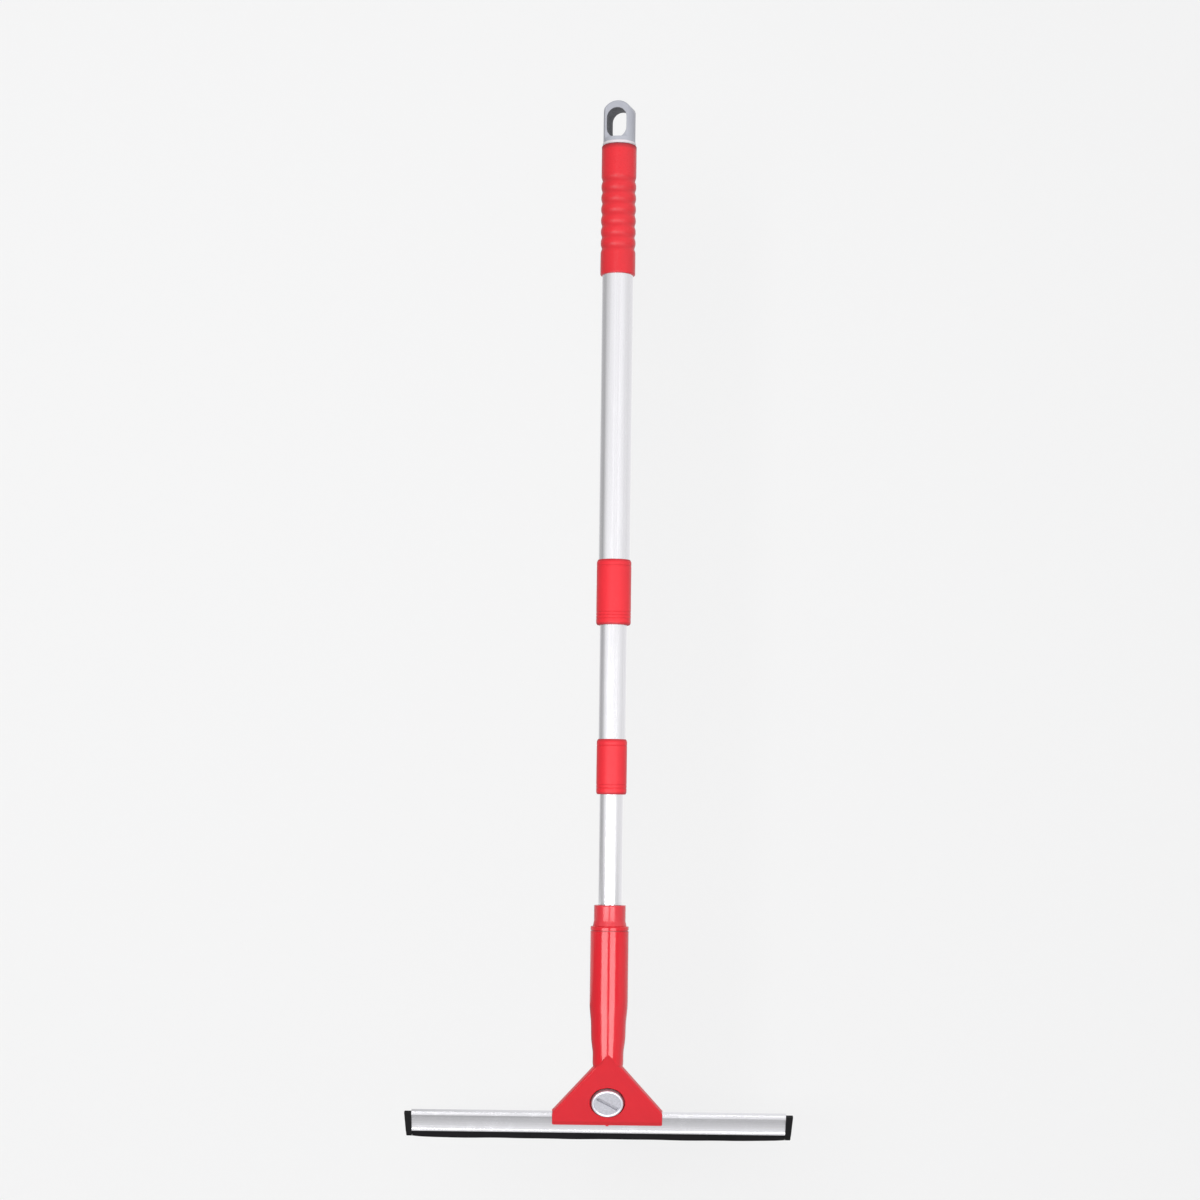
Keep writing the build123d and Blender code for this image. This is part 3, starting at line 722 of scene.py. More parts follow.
def collar_outline(radius, low, high, seat_radius, guide_radius, seat, ring_levels):
    """Corners and radii of a collar's outline, from its lower outside corner upwards.

    A ring is a V between ring level - width / 2 and ring level + width / 2.
    """
    corners = [(radius - EDGE_CUT, low), (radius, low + BOTTOM_EDGE)]
    radii = [0.4 * MM, 2.0 * MM]
    for level in sorted(ring_levels):
        for height, depth, bend in ((-0.5, 0.0, 0.12), (0.0, 1.0, 0.15), (0.5, 0.0, 0.12)):
            corners.append((radius - depth * RING_DEPTH, level + height * RING_WIDTH))
            radii.append(bend * MM)
    corners += [(radius, high - TOP_EDGE), (radius - EDGE_CUT, high), (seat_radius, high),
                (seat_radius, high - seat), (guide_radius, high - seat), (guide_radius, low)]
    radii += [2.5 * MM, 0.4 * MM, 0.1 * MM, 0.1 * MM, 0.1 * MM, 0.3 * MM]
    return rounded(corners, radii)


# %% Collars
GUIDE_GAP = 0.08 * MM
RING_SHADE = 0.20
END_SHADE = 0.5
EDGE_REACH = 2.2 * MM

for name, tube, next_tube, seat, low_rings in (
        ("upper_collar", "outer_tube", "middle_tube", 34 * MM, 3),
        ("lower_collar", "middle_tube", "inner_tube", 28 * MM, 2)):
    low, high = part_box(name)
    levels = [low.z + RING_INSET + k * RING_PITCH for k in range(low_rings)]
    outline = collar_outline(high.x, low.z, high.z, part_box(tube)[1].x,
                             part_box(next_tube)[1].x + GUIDE_GAP, seat,
                             levels + [high.z - RING_INSET])
    points, faces = around_pole(outline)
    sunk = (high.x - distance_from_pole(points)) / RING_DEPTH
    to_end = np.minimum(points[:, 2] - low.z, high.z - points[:, 2])
    on_outside = sunk < 4
    # Painted shade: darker in the sunk rings, and darker still towards both ends, where the collar
    # meets the tubes.
    painted_shade = np.where(on_outside, RING_SHADE * np.clip(sunk, 0, 1), 0.0)
    painted_shade = np.maximum(painted_shade, END_SHADE * np.clip(1 - to_end / EDGE_REACH, 0, 1))
    make_piece(name + "_moulded", points, faces, TUBES[tube][0], collar_red,
               [name], painted_shade=painted_shade)

# %% [markdown]
# ## Hand grip
#
# The grip is a soft sleeve, pushed over the pole. Its middle part has seven grooves, and the ribs
# between them are softly crowned. Sculpting could draw them, but each would come out a little
# different. The outside here is one smooth function of height: the full radius, less a groove
# term that repeats along the ribbed part. Each rib then catches the light on its lower half.

# %% The grip's outside
GRIP_FIRST_GROOVE = 29.2 * MM
GROOVE_PITCH = 9.3 * MM
GROOVES = 7
GROOVE_DEPTH = 0.9 * MM


def grip_radius(height, top, radius):
    """Radius less depth x ((1 + cos) / 2)^1.6 of the place between grooves, in the ribbed part."""
    place = (top - GRIP_FIRST_GROOVE - height) / GROOVE_PITCH
    wave = ((1 + np.cos(2 * pi * place)) / 2) ** 1.6
    inside = (place > -0.5) & (place < GROOVES - 0.5)
    return radius - GROOVE_DEPTH * np.where(inside, wave, 0.0)


# %% Grip
GRIP_LIP = 1.2 * MM
GRIP_BORE_GAP = 0.02 * MM
GROOVE_SHADE = 0.12
GRIP_DARK_EDGE = 4.5 * MM
GRIP_TOP_SHADE = 0.8

low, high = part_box("hand_grip")
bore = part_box("outer_tube")[1].x + GRIP_BORE_GAP
heights = np.linspace(low.z + GRIP_LIP, high.z - GRIP_LIP, 260)
outside = np.stack([grip_radius(heights, high.z, high.x), heights], axis=1)
turn = np.linspace(0, pi / 2, 8)[1:]
top_lip = np.stack([high.x - GRIP_LIP + GRIP_LIP * np.cos(turn),
                    high.z - GRIP_LIP + GRIP_LIP * np.sin(turn)], axis=1)
bottom_lip = top_lip[::-1] * [1, -1] + [0, high.z + low.z]
outline = np.concatenate([bottom_lip, outside, top_lip, [(bore, high.z), (bore, low.z)]])
points, faces = around_pole(outline)
# Painted shade: darker in the grooves, and darkest along the top edge under the cap.
sunk = np.clip((high.x - distance_from_pole(points)) / GROOVE_DEPTH, 0, 1)
near_top = np.clip(1 - (high.z - points[:, 2]) / GRIP_DARK_EDGE, 0, 1)
make_piece("grip_sleeve", points, faces, "outer_section", grip_red, ["hand_grip"],
           painted_shade=GRIP_TOP_SHADE * near_top + GROOVE_SHADE * sunk)

# %% [markdown]
# ## Bead
#
# A thin pale bead shows between the cap and the grip. Its pale colour, lighter than the cap's
# grey, is a painted highlight. Blender has a torus of its own, but the helper for round pieces
# makes one
# just as shortly: a small circle carried round the pole.

# %% Bead between the cap and the grip
BEAD_RADIUS = 1.5 * MM
BEAD_INSET = 0.9 * MM
BEAD_LIFT = 1.35 * MM

turn = full_turn(24)
bead_middle = -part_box("hang_cap")[0].x - BEAD_INSET
bead = np.stack([bead_middle + BEAD_RADIUS * np.cos(turn),
                 high.z + BEAD_LIFT + BEAD_RADIUS * np.sin(turn)], axis=1)
points, faces = around_pole(bead)
make_piece("cap_bead", points, faces, "outer_section", bead_painted_highlight)

# %% [markdown]
# ## Threaded tip
#
# The pole ends in a plug with a flared flange and a coarse thread that screws into the handle. A
# Screw modifier could turn a profile into a helix, but the helix would then have to be joined to
# the plug. As a bump in the plug's radius the thread is part of one closed skin. A thread is a
# bump that goes round as it goes down: the turns made so far, at an angle a and a height z, are
# (top - z) / pitch - a / 2 pi. Where that is near the middle of a turn the surface stands out,
# with sloping flanks. It fades in and out at the ends. The surface closes on the axis at both
# ends with a fan of triangles.

# %% Rings closed at both ends
def solid_of_rings(radius, height, angle):
    """Rings round Z, closed on the axis at both ends. All three are (rings, angles) arrays."""
    count, segments = radius.shape
    rings = np.stack([radius * np.cos(angle), radius * np.sin(angle), height], axis=-1)
    rings = rings.reshape(-1, 3)
    first_pole, last_pole = len(rings), len(rings) + 1
    poles = np.array([[0, 0, height[0, 0]], [0, 0, height[-1, 0]]])
    here = np.arange(segments)
    following = (here + 1) % segments
    last = (count - 1) * segments
    faces = grid_faces(count, segments, False, True).tolist()
    faces += np.stack([following, here, np.full(segments, first_pole)], axis=1).tolist()
    faces += np.stack([last + here, last + following, np.full(segments, last_pole)],
                      axis=1).tolist()
    return np.concatenate([rings, poles]), faces


# %% The thread's ridge
THREAD_DEPTH = 1.1 * MM
THREAD_PITCH = 3.0 * MM
THREAD_TURNS = 7
RIDGE_FOOT = 0.8 * MM
RIDGE_FLANK = 0.4 * MM
FADE_TURNS = 0.3

flange_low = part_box("squeegee_handle")[1].z
thread_low = flange_low - THREAD_PITCH * THREAD_TURNS


def threaded(radius, height, angle):
    """Add the thread's ridge to the radius, between the flange and the plain nose.

    The ridge is clip((foot - distance from the turn's middle) / flank, 0, 1) of the depth.
    """
    turn = (flange_low - height) / THREAD_PITCH - angle / (2 * pi)
    off_middle = np.abs((turn % 1.0) - 0.5) * THREAD_PITCH
    ridge = np.clip((RIDGE_FOOT - off_middle) / RIDGE_FLANK, 0, 1)
    fade_in = np.clip((turn - 0.2) / FADE_TURNS, 0, 1)
    fade_out = np.clip((THREAD_TURNS - 0.7 - turn) / FADE_TURNS, 0, 1)
    in_thread = (height < flange_low - 0.2 * MM) & (height > thread_low)
    return radius + np.where(in_thread, THREAD_DEPTH * ridge * fade_in * fade_out, 0.0)


# %% Threaded tip
THREAD_ROOT = 7.1 * MM
FLANGE_HEIGHT = 16.4 * MM
INSERT_EDGE = 0.6 * MM
NOSE_CUT = 1.1 * MM

# Each row is a step in from the flange's radius and a step up from its top or its bottom.
FLANGE_TOP = np.array([(1.15, 0), (0.95, -0.06), (0.86, -0.2), (0.80, -0.4), (0.80, -0.9)]) * MM
FLANGE_FOOT = np.array([(0.80, 4.4), (0.77, 3.8), (0.02, 0.5), (0, 0.25), (0.2, 0)]) * MM

low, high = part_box("threaded_tip")
flange_radius = high.x
flange_high = flange_low + FLANGE_HEIGHT
insert_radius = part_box("inner_tube")[1].x - TUBES["inner_tube"][1]
bands = np.linspace(flange_low - 0.3 * MM, thread_low, 150)
profile = np.concatenate([
    [(insert_radius - INSERT_EDGE, high.z), (insert_radius, high.z - INSERT_EDGE),
     (insert_radius, high.z - 2 * INSERT_EDGE), (insert_radius, flange_high + 0.2 * MM),
     (insert_radius, flange_high)],
    FLANGE_TOP * [-1, 1] + [flange_radius, flange_high],
    FLANGE_FOOT * [-1, 1] + [flange_radius, flange_low],
    [(THREAD_ROOT, flange_low)],
    np.stack([np.full(len(bands), THREAD_ROOT), bands], axis=1),
    [(THREAD_ROOT, low.z + NOSE_CUT), (THREAD_ROOT - NOSE_CUT, low.z)]])
radius, angle = np.meshgrid(profile[:, 0], full_turn(ROUND), indexing="ij")
height = np.repeat(profile[:, 1:], ROUND, axis=1)
points, faces = solid_of_rings(threaded(radius, height, angle), height, angle)
make_piece("tip_thread", points, faces, "inner_section", tip_red, ["threaded_tip"], 40)

# %% [markdown]
# ## Clamp screw
#
# The screw has a wide head with a rolled rim, a sunken face and a slot for a coin. A Boolean
# could cut the slot, but it leaves ragged faces that shade badly. Here every ring of the mesh has
# the same number of points, so the face can run from a round ring straight to the slot's outline,
# and nothing is cut. A point of the slot's outline at an angle a lies at the smaller of half
# length / |cos a| and half width / |sin a|. Painted shade darkens the slot and the sunken face,
# and the rest of the screw a little.

# %% The slot's outline
SLOT_HALF = (9.5 * MM, 1.5 * MM)
SLOT_DEPTH = 1.8 * MM
SLOT_TURN = radians(-32)

corner = atan2(SLOT_HALF[1], SLOT_HALF[0])
slot_corners = [corner, pi - corner, pi + corner, 2 * pi - corner]
angle = np.sort(np.append(full_turn(ROUND), slot_corners))
slot = np.minimum(SLOT_HALF[0] / np.abs(np.cos(angle)),
                  SLOT_HALF[1] / np.maximum(np.abs(np.sin(angle)), 1e-9))
print("slot", len(angle), "points round, from", (slot.min() / MM).round(2), "to",
      (slot.max() / MM).round(2), "mm")

# %% The screw's profile
HEAD_RADIUS = 12.6 * MM
HEAD_UNDER = -1.77 * MM
HEAD_EDGE = 0.3 * MM
HEAD_TOP = 2.6 * MM
RIM_RADIUS = 1.2 * MM
FACE_SUNK = 0.8 * MM
FACE_KEEP = 0.2 * MM
SHANK_RADIUS = 3.0 * MM
SHANK_END = -15.7 * MM
SHANK_CUT = 0.6 * MM

# The rim is an arc that starts level at the head's side and ends where it meets the sunken face.
turn = np.linspace(0, pi - np.arcsin(1 - FACE_SUNK / RIM_RADIUS), 14)
rim = np.stack([HEAD_RADIUS - RIM_RADIUS + RIM_RADIUS * np.cos(turn),
                HEAD_TOP - RIM_RADIUS + RIM_RADIUS * np.sin(turn)], axis=1)
rim_inside = rim[-1, 0]
face_level = HEAD_TOP - FACE_SUNK
profile = np.concatenate([
    [(SHANK_RADIUS - SHANK_CUT, SHANK_END), (SHANK_RADIUS, SHANK_END + SHANK_CUT),
     (SHANK_RADIUS, HEAD_UNDER), (HEAD_RADIUS - HEAD_EDGE, HEAD_UNDER),
     (HEAD_RADIUS, HEAD_UNDER + HEAD_EDGE)],
    rim, [(rim_inside - FACE_KEEP, face_level)]])
print("screw", round((HEAD_TOP - SHANK_END) / MM, 1), "mm long")

# %% Screw
SLOT_SHADE = 0.58
FACE_SHADE = 0.47
RIM_SHADE = 0.12

slot_rings = slot[None, :] * np.array([[1.0], [1.0], [0.97]])
slot_levels = face_level - np.array([0, SLOT_DEPTH - 0.05 * MM, SLOT_DEPTH])
radius = np.concatenate([np.repeat(profile[:, :1], len(angle), axis=1), slot_rings])
height = np.concatenate([profile[:, 1], slot_levels])[:, None].repeat(len(angle), axis=1)
points, faces = solid_of_rings(radius, height, np.broadcast_to(angle + SLOT_TURN, radius.shape))
inside_rim = (distance_from_pole(points) < rim_inside + FACE_KEEP) & (points[:, 2] > HEAD_UNDER)
in_slot = inside_rim & (points[:, 2] < face_level - 0.01 * MM)
# Painted shade: darkest in the slot, dark on the sunken face, and a little on the rest.
painted_shade = np.where(in_slot, SLOT_SHADE, np.where(inside_rim, FACE_SHADE, RIM_SHADE))

# The screw was drawn round Z. Its axis comes straight out of the face.
points = (SCREW_CENTRE + points[:, :1] * [1, 0, 0] + points[:, 1:2] * UP_FACE
          - points[:, 2:] * INTO_FACE)
make_piece("coin_screw", points, faces, "screw", screw_metal, ["clamp_screw"],
           30, painted_shade)

# %% [markdown]
# ## Channel
#
# The channel is an aluminium extrusion: one outline pushed out to any length. It is made the same
# way here, because a row of boxes would miss the curve of its hollow front, which is what gives
# the metal its long soft bands. The front has a slim lip above and the rubber's holder below, and
# a bulb-shaped bore runs through the holder.

# %% The front's curves
FRONT = 3.8 * MM
TOP = 8.6 * MM
HOLLOW_TOP = 5.7 * MM
HOLLOW_BOTTOM = -7.6 * MM
HOLDER_BOTTOM = -10.2 * MM
LIP_LEAN = 0.6 * MM
FOOT_ROLL = 0.5 * MM
HOLLOW_SLOPE = 0.25
HOLLOW_BEND = 0.575


def front_depth(height):
    """Depth of the channel's front at a height, in three curves that meet.

    The upper lip leans back: LIP_LEAN x s. The lower lip rolls back towards its top:
    FOOT_ROLL x s^2. In both, s runs from 0 at the lip's foot to 1 at its top. Between them the
    hollow is a parabola over its height H: FOOT_ROLL + HOLLOW_SLOPE x u - HOLLOW_BEND x u^2 / 2 H,
    with u measured upwards.
    """
    tall = HOLLOW_TOP - HOLLOW_BOTTOM
    u = np.clip(height - HOLLOW_BOTTOM, 0, tall)
    hollow = FOOT_ROLL + HOLLOW_SLOPE * u - HOLLOW_BEND * u ** 2 / (2 * tall)
    upper = LIP_LEAN * (height - HOLLOW_TOP) / (TOP - HOLLOW_TOP)
    s = np.clip((height - HOLDER_BOTTOM) / (HOLLOW_BOTTOM - HOLDER_BOTTOM), 0, 1)
    lower = FOOT_ROLL * s ** 2
    return FRONT + np.where(height > HOLLOW_TOP, upper,
                            np.where(height < HOLLOW_BOTTOM, lower, hollow))


height = np.linspace(TOP - 0.8 * MM, HOLDER_BOTTOM + 0.5 * MM, 90)
front = np.stack([front_depth(height), height], axis=1)
print("hollow", ((front[:, 0].max() - FRONT) / MM).round(2), "mm deep")

# %% Channel
HOLDER_BACK = FRONT + 5.4 * MM
FLANGE_BACK = FRONT + 4.0 * MM
FLANGE_THICKNESS = 1.3 * MM
WEB_BACK = FRONT + 3.0 * MM
SHOULDER = -5.4 * MM
MOUTH_MIDDLE = (FRONT + HOLDER_BACK) / 2
MOUTH = 1.0 * MM
BULB_HALF = 1.6 * MM
BULB_HEIGHT = 2.4 * MM
BULB_BOTTOM = HOLDER_BOTTOM + 1.2 * MM

corners = [
    (FRONT, HOLDER_BOTTOM), (MOUTH_MIDDLE - MOUTH, HOLDER_BOTTOM),
    (MOUTH_MIDDLE - MOUTH, BULB_BOTTOM), (MOUTH_MIDDLE - BULB_HALF, BULB_BOTTOM),
    (MOUTH_MIDDLE - BULB_HALF, BULB_BOTTOM + BULB_HEIGHT),
    (MOUTH_MIDDLE + BULB_HALF, BULB_BOTTOM + BULB_HEIGHT),
    (MOUTH_MIDDLE + BULB_HALF, BULB_BOTTOM), (MOUTH_MIDDLE + MOUTH, BULB_BOTTOM),
    (MOUTH_MIDDLE + MOUTH, HOLDER_BOTTOM), (HOLDER_BACK, HOLDER_BOTTOM),
    (HOLDER_BACK, SHOULDER), (WEB_BACK, SHOULDER + HOLDER_BACK - WEB_BACK),
    (WEB_BACK, TOP - FLANGE_THICKNESS), (FLANGE_BACK, TOP - FLANGE_THICKNESS),
    (FLANGE_BACK, TOP), (FRONT + LIP_LEAN, TOP)]
radii = np.full(len(corners), 0.12 * MM)
radii[[0, -1]] = [0.5 * MM, 0.15 * MM]
hull = rounded(corners, radii, steps=4, keep=0.15 * MM)
outline = np.concatenate([hull[:-1], front, hull[-1:]])
ends = BLADE_MIDDLE + np.array([-0.5, 0.5]) * BLADE_LENGTH
points, faces = along_blade(outline, ends)
make_piece("channel_extrusion", points, faces, "blade", channel_metal,
           ["squeegee_channel"], 30)

# %% [markdown]
# ## Rubber
#
# The rubber has a bulb that slides into the holder, a lip through the holder's mouth and an edge
# cut square. Two end faces would be enough for a straight strip, but a used one is never quite
# straight. So it is carried along the blade in 240 short steps, and a bend pushes its free lip
# back: a slight wave, and a curl at both ends.

# %% Rubber
LIP_FRONT, LIP_BACK = MOUTH_MIDDLE - 0.9 * MM, MOUTH_MIDDLE + 0.9 * MM
CORE_FRONT, CORE_BACK = MOUTH_MIDDLE - 1.5 * MM, MOUTH_MIDDLE + 1.5 * MM
CORE_TOP = BULB_BOTTOM + 2.3 * MM
LIP_RUNGS = 12

corners = [
    (LIP_BACK, RUBBER_EDGE), (LIP_BACK, BULB_BOTTOM), (CORE_BACK, BULB_BOTTOM),
    (CORE_BACK, CORE_TOP), (CORE_FRONT, CORE_TOP), (CORE_FRONT, BULB_BOTTOM),
    (LIP_FRONT, BULB_BOTTOM), (LIP_FRONT, RUBBER_EDGE)]
outline = rounded(corners, 0.1 * MM, steps=3, keep=0.15 * MM)
rungs = np.linspace(RUBBER_EDGE + 0.5 * MM, BULB_BOTTOM - 0.5 * MM, LIP_RUNGS)
back = np.stack([np.full(LIP_RUNGS, LIP_BACK), rungs], axis=1)
front = np.stack([np.full(LIP_RUNGS, LIP_FRONT), rungs[::-1]], axis=1)
outline = np.concatenate([outline[:5], back, outline[5:-1], front, outline[-1:]])


def rubber_bend(x, height):
    """The free lip's sweep to the back, which grows with the square of the free height.

    With p from -0.5 to 0.5 along the blade, the wave is 0.22 mm x (sin 19 p + 0.6 sin(43 p + 1))
    and the curl at the ends is 1.9 mm x |2 p|^14.
    """
    free = np.clip((HOLDER_BOTTOM - height) / (HOLDER_BOTTOM - RUBBER_EDGE), 0, 1)
    p = (x - BLADE_MIDDLE) / BLADE_LENGTH
    wave = 0.22 * MM * (np.sin(p * 19) + 0.6 * np.sin(p * 43 + 1))
    curl = 1.9 * MM * np.abs(2 * p) ** 14
    return free ** 2 * (wave + curl)


stations = BLADE_MIDDLE + np.linspace(-0.5, 0.5, 241) * BLADE_LENGTH
points, faces = along_blade(outline, stations, rubber_bend)
make_piece("rubber_strip", points, faces, "blade", rubber_black,
           ["rubber_blade"], 40)

# %% [markdown]
# ## Stage
#
# A pale wall stands behind the squeegee, just clear of the blade when it turns, and a pale floor
# lies below it. Both show only from their front, so a camera behind the wall still sees the tool.
# A plain matt wall would be lit unevenly by the lamps. So part of the wall's brightness is its
# own, for camera, mirror and glass rays, which keeps it even to the edges of the picture. The rest
# comes from the lamps, which keeps a faint soft shadow.

# %% Which rays a surface is seen by
def seen_plainly(tree):
    """1 for camera and glass rays, else 0."""
    path = tree.nodes.new("ShaderNodeLightPath").outputs
    return calculate(tree, "MAXIMUM", path["Is Camera Ray"], path["Is Transmission Ray"])


def seen_directly(tree):
    """1 for camera, mirror and glass rays, else 0."""
    path = tree.nodes.new("ShaderNodeLightPath").outputs
    first = calculate(tree, "MAXIMUM", path["Is Camera Ray"], path["Is Glossy Ray"])
    return calculate(tree, "MAXIMUM", first, path["Is Transmission Ray"])


# %% The stage's finish
PALE = 0.896
OWN_GLOW = 0.80


def pale_stage_material(name, bounce):
    """Diffuse plus a glow for direct rays, and clear from behind.

    bounce dims the colour for all other rays, which carry light back to the squeegee.
    """
    material = bpy.data.materials.new(name)
    material.use_nodes = True
    tree = material.node_tree
    tree.nodes.clear()
    colour, dim = (PALE, PALE, PALE, 1), (bounce * PALE, bounce * PALE, bounce * PALE, 1)
    glow = calculate(tree, "MULTIPLY", seen_directly(tree), OWN_GLOW)
    seen = mix_colour(tree, seen_directly(tree), dim, colour)
    lit = add_node(tree, "ShaderNodeBsdfDiffuse", {"Color": seen})
    own = add_node(tree, "ShaderNodeEmission", {"Color": colour, "Strength": 1.0})
    front = add_node(tree, "ShaderNodeMixShader", {0: glow, 1: lit.outputs[0], 2: own.outputs[0]})
    clear = tree.nodes.new("ShaderNodeBsdfTransparent")
    behind = tree.nodes.new("ShaderNodeNewGeometry").outputs["Backfacing"]
    sides = add_node(tree, "ShaderNodeMixShader",
                     {0: behind, 1: front.outputs[0], 2: clear.outputs[0]})
    end = tree.nodes.new("ShaderNodeOutputMaterial")
    tree.links.new(sides.outputs[0], end.inputs["Surface"])
    material.cycles.emission_sampling = "NONE"
    return material


# %% Wall and floor
WALL_Y = 0.24
WALL_TOP = 4
WALL_BOUNCE = 0.3
FLOOR_Z = -1.75
FLOOR_BOUNCE = 1.0
STAGE_REACH = 6


def stage_sheet(name, points, faces, material):
    """A thin stage piece."""
    mesh = bpy.data.meshes.new(name)
    mesh.from_pydata(np.asarray(points).tolist(), [], faces)
    sheet = bpy.data.objects.new(name, mesh)
    scene.collection.objects.link(sheet)
    mesh.materials.append(material)
    sheet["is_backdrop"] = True
    return sheet


def upright(x0, y0, x1, y1, low, high):
    """Corners of an upright sheet over a line on the floor."""
    return [(x0, y0, low), (x1, y1, low), (x1, y1, high), (x0, y0, high)]


def level(x0, y0, x1, y1, height):
    """Corners of a level sheet."""
    return [(x0, y0, height), (x1, y0, height), (x1, y1, height), (x0, y1, height)]


ONE_FACE = [(0, 1, 2, 3)]
stage_sheet("wall", upright(-STAGE_REACH, WALL_Y, STAGE_REACH, WALL_Y, FLOOR_Z, WALL_TOP),
            ONE_FACE, pale_stage_material("pale_wall", WALL_BOUNCE))
stage_sheet("floor", level(-STAGE_REACH, -STAGE_REACH, STAGE_REACH, STAGE_REACH, FLOOR_Z),
            ONE_FACE, pale_stage_material("pale_floor", FLOOR_BOUNCE))
print("wall", WALL_Y, "m behind the pole, floor", -FLOOR_Z, "m below the cap")

# %% [markdown]
# ## Light
#
# Shading and reflections are set apart here, because a lamp that lights a red grip well can leave
# a shiny tube flat. A broad lamp from the front left gives the shading. Two tall softboxes stand
# either side of the camera at the height of the head, and a low wide one faces the grip's ribs.
# Only mirror rays see those three: the round handle shows the tall ones as two upright bands with
# a narrow gap between, and each rib shows the wide one as a short line.

# %% Lamps
MIDDLE_Z = -0.41


def softbox(name, azimuth, away, low, high, width, radiance, mirror_only, aim_z=None):
    """An area lamp that faces the pole, with a power of radiance x pi x its area.

    Azimuth is in degrees from the camera's side to the right. The lamp looks level, or at aim_z.
    """
    lamp = bpy.data.lights.new(name, "AREA")
    lamp.shape = "RECTANGLE"
    lamp.size = width
    lamp.size_y = high - low
    lamp.energy = radiance * pi * lamp.size * lamp.size_y
    turn = radians(azimuth)
    place = Vector((sin(turn) * away, -cos(turn) * away, (low + high) / 2))
    aim = Vector((0, 0, place.z if aim_z is None else aim_z)) - place
    holder = bpy.data.objects.new(name, lamp)
    holder.location = place
    holder.rotation_euler = aim.to_track_quat("-Z", "Y").to_euler()
    holder.visible_camera = False
    holder.visible_diffuse = not mirror_only
    holder.visible_glossy = mirror_only
    scene.collection.objects.link(holder)


softbox("head_light_left", -28.5, 1.5, -1.7, -0.66, 1.00, 6.0, mirror_only=True)
softbox("head_light_right", 19.5, 1.5, -1.7, -0.66, 0.86, 6.0, mirror_only=True)
softbox("rib_light", 6, 0.8, -0.55, -0.49, 1.35, 4.2, mirror_only=True)
softbox("broad_lamp", -14, 2.2, -0.75, 0.45, 1.2, 7.6, mirror_only=False, aim_z=MIDDLE_Z)

# %% [markdown]
# ## What the metal mirrors
#
# A bare tube looks like its surroundings. In an empty studio it would mirror one even grey. So
# sheets that only mirror rays see stand round the tool: one round the pole, whose brightness
# changes with the azimuth and gives the tubes their bands and dark edges, and a dark and a grey
# one either side of the head, which give the handle and the channel theirs.

# %% Cards
CARD_Y = WALL_Y - 0.008


def card(name, points, faces, levels):
    """A sheet that only mirror rays see. Each of its points has its own brightness."""
    material = bpy.data.materials.new(name)
    material.use_nodes = True
    tree = material.node_tree
    tree.nodes.clear()
    brightness = add_node(tree, "ShaderNodeAttribute", attribute_name="level").outputs["Fac"]
    glow = add_node(tree, "ShaderNodeEmission", {"Color": (1, 1, 1, 1), "Strength": brightness})
    end = tree.nodes.new("ShaderNodeOutputMaterial")
    tree.links.new(glow.outputs[0], end.inputs["Surface"])
    material.cycles.emission_sampling = "NONE"
    sheet = stage_sheet(name, points, faces, material)
    set_point_values(sheet.data, "level", levels)
    sheet.visible_camera = False
    sheet.visible_diffuse = False
    sheet.visible_transmission = False
    sheet.visible_shadow = False


# %% The sheet round the pole
SURROUND_RADIUS = 0.80
SURROUND_LOW = -0.665
SURROUND_HIGH = 0.75
FADE_LOW = -0.25
FADE_HIGH = 0.05

# Each row is an azimuth in degrees, the brightness up to FADE_LOW and that above FADE_HIGH.
SURROUND_LEVELS = np.array([
    (-180, 0.85, 0.80), (-150, 0.82, 0.70), (-132, 0.52, 0.46), (-98, 0.38, 0.46),
    (-84, 0.56, 0.62), (-70, 0.84, 0.66), (-55, 0.93, 0.76), (-40, 0.93, 0.94),
    (42, 0.93, 0.96), (60, 0.86, 0.84), (90, 0.80, 0.78), (125, 0.86, 0.82), (180, 0.97, 0.95)])


def surround(name, radius, low, high, table):
    """A sheet that stands round the pole and comes back along the wall on both sides.

    At an azimuth a it stands min(radius, CARD_Y / -cos a) from the pole. Its brightness follows
    the table by azimuth, and between FADE_LOW and FADE_HIGH it runs evenly from the table's lower
    column to its upper one.
    """
    azimuth = np.linspace(-176, 176, 177)
    turn = np.radians(azimuth)
    reach = np.minimum(radius, CARD_Y / np.maximum(-np.cos(turn), 1e-6))
    x, y = reach * np.sin(turn), -reach * np.cos(turn)
    height = np.linspace(low, high, 25)
    grid = np.stack(np.broadcast_arrays(x[:, None], y[:, None], height[None, :]), axis=-1)
    below = np.interp(azimuth, table[:, 0], table[:, 1])[:, None]
    above = np.interp(azimuth, table[:, 0], table[:, 2])[:, None]
    rise = np.clip((height - FADE_LOW) / (FADE_HIGH - FADE_LOW), 0, 1)[None, :]
    card(name, grid.reshape(-1, 3), grid_faces(len(azimuth), len(height)).tolist(),
         (below * (1 - rise) + above * rise).ravel())


surround("tube_surround", SURROUND_RADIUS, SURROUND_LOW, SURROUND_HIGH, SURROUND_LEVELS)

# %% Cards beside, behind and below the head
CARD_LOW = FLOOR_Z + 0.01
CARD_TOP = -0.71
BACK_CARD_TOP = -0.745
DARK = [0.36] * 4
GREY = [0.75] * 4
PALE_TO_GREY = [0.97, 0.97, 0.46, 0.46]

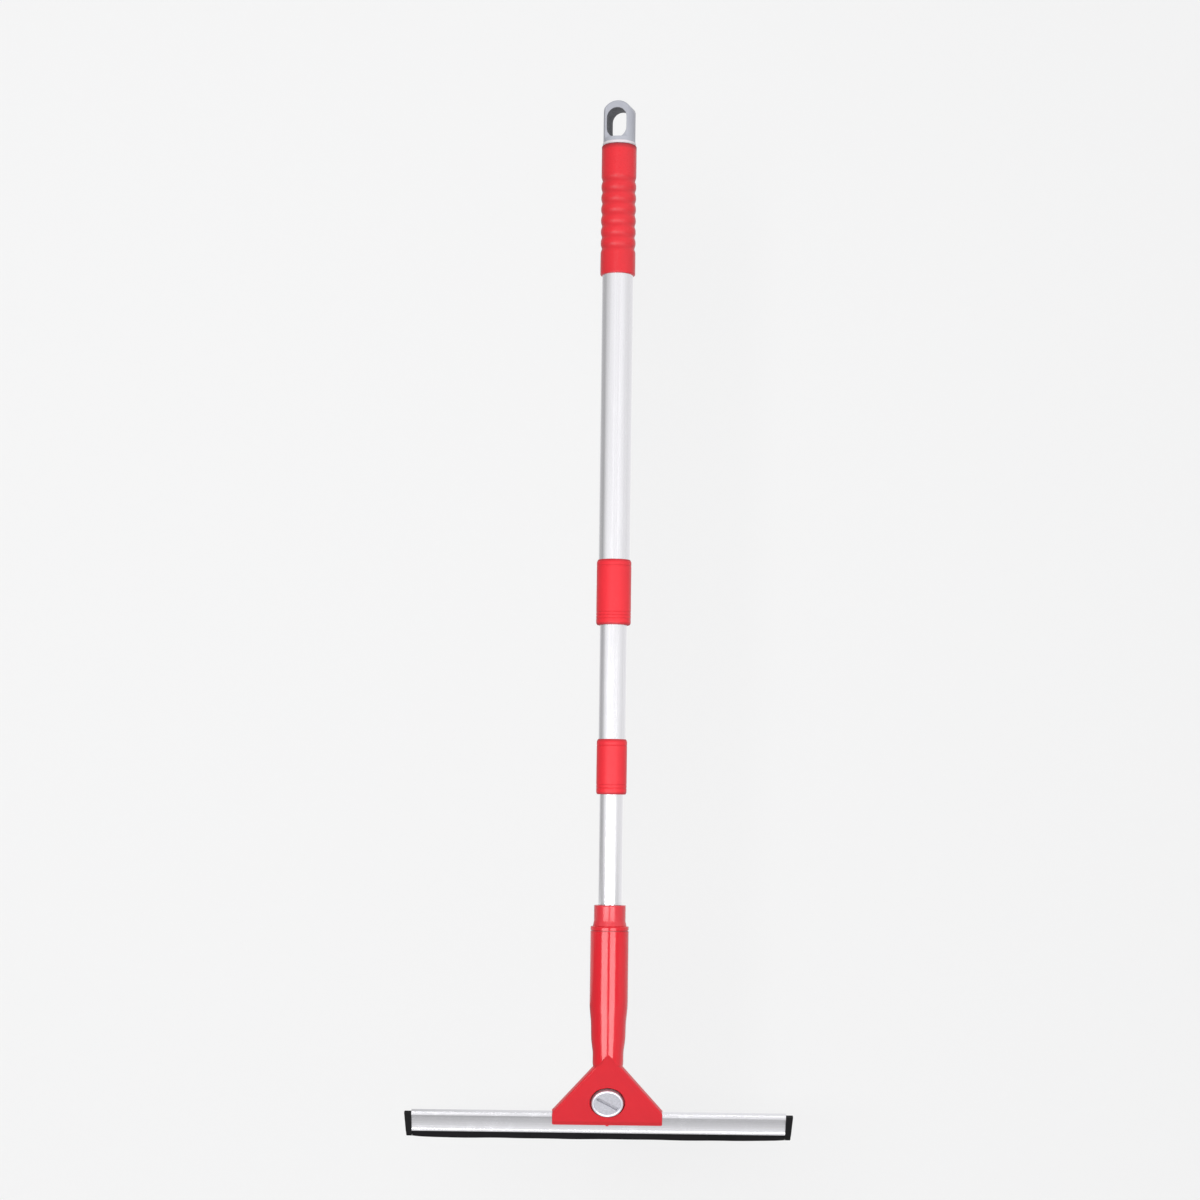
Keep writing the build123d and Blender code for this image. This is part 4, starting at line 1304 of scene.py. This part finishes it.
card("dark_card", upright(-0.69, -0.40, -0.80, CARD_Y, CARD_LOW, CARD_TOP), ONE_FACE, DARK)
card("dark_card_back", upright(-0.80, CARD_Y, -0.02, CARD_Y, CARD_LOW, BACK_CARD_TOP),
     ONE_FACE, DARK)
card("grey_card", upright(0.69, -0.40, 0.80, CARD_Y, CARD_LOW, CARD_TOP), ONE_FACE, GREY)
card("floor_card", level(-1.5, -1.4, 1.5, CARD_Y, FLOOR_Z + 0.02), ONE_FACE, PALE_TO_GREY)
print("cards:", [o.name for o in scene.objects if "level" in getattr(o.data, "attributes", {})])

# %% [markdown]
# ## World
#
# The world fills the shadows with soft light, a little more of it from the right. Mirror rays see
# it as one even grey, and a camera that looks past the stage sees the stage's own pale colour.

# %% World
FILL_COLOUR = (0.97, 0.98, 1.0, 1)
FILL_LEFT, FILL_RIGHT = 0.05, 1.15
MIRRORED_LEVEL = 0.5

world = bpy.data.worlds.new("studio")
scene.world = world
world.use_nodes = True
tree = world.node_tree
tree.nodes.clear()
direction = tree.nodes.new("ShaderNodeTexCoord").outputs["Generated"]
sideways = add_node(tree, "ShaderNodeSeparateXYZ", {"Vector": direction}).outputs["X"]
from_right = remap(tree, sideways, (-1.0, 1.0), (FILL_LEFT, FILL_RIGHT))
mirrored = tree.nodes.new("ShaderNodeLightPath").outputs["Is Glossy Ray"]
strength = add_node(tree, "ShaderNodeMix", {0: mirrored, 2: from_right, 3: MIRRORED_LEVEL},
                    data_type="FLOAT").outputs[0]
fill = add_node(tree, "ShaderNodeBackground", {"Color": FILL_COLOUR, "Strength": strength})
plain = add_node(tree, "ShaderNodeBackground", {"Color": (PALE, PALE, PALE, 1), "Strength": 1.0})
sky = add_node(tree, "ShaderNodeMixShader",
               {0: seen_plainly(tree), 1: fill.outputs[0], 2: plain.outputs[0]})
end = tree.nodes.new("ShaderNodeOutputWorld")
tree.links.new(sky.outputs[0], end.inputs["Surface"])
print("world:", len(tree.nodes), "nodes")

# %% [markdown]
# ## Measure and finish
#
# The dressed model has to stay inside the CAD model's box, so the last line prints how far past
# that box it reaches.

# %% How far past the CAD box
new_low, new_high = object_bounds()
past = max(*(cad_low - new_low), *(new_high - cad_high))
print("past the CAD box by at most", round(past, 4), "m")
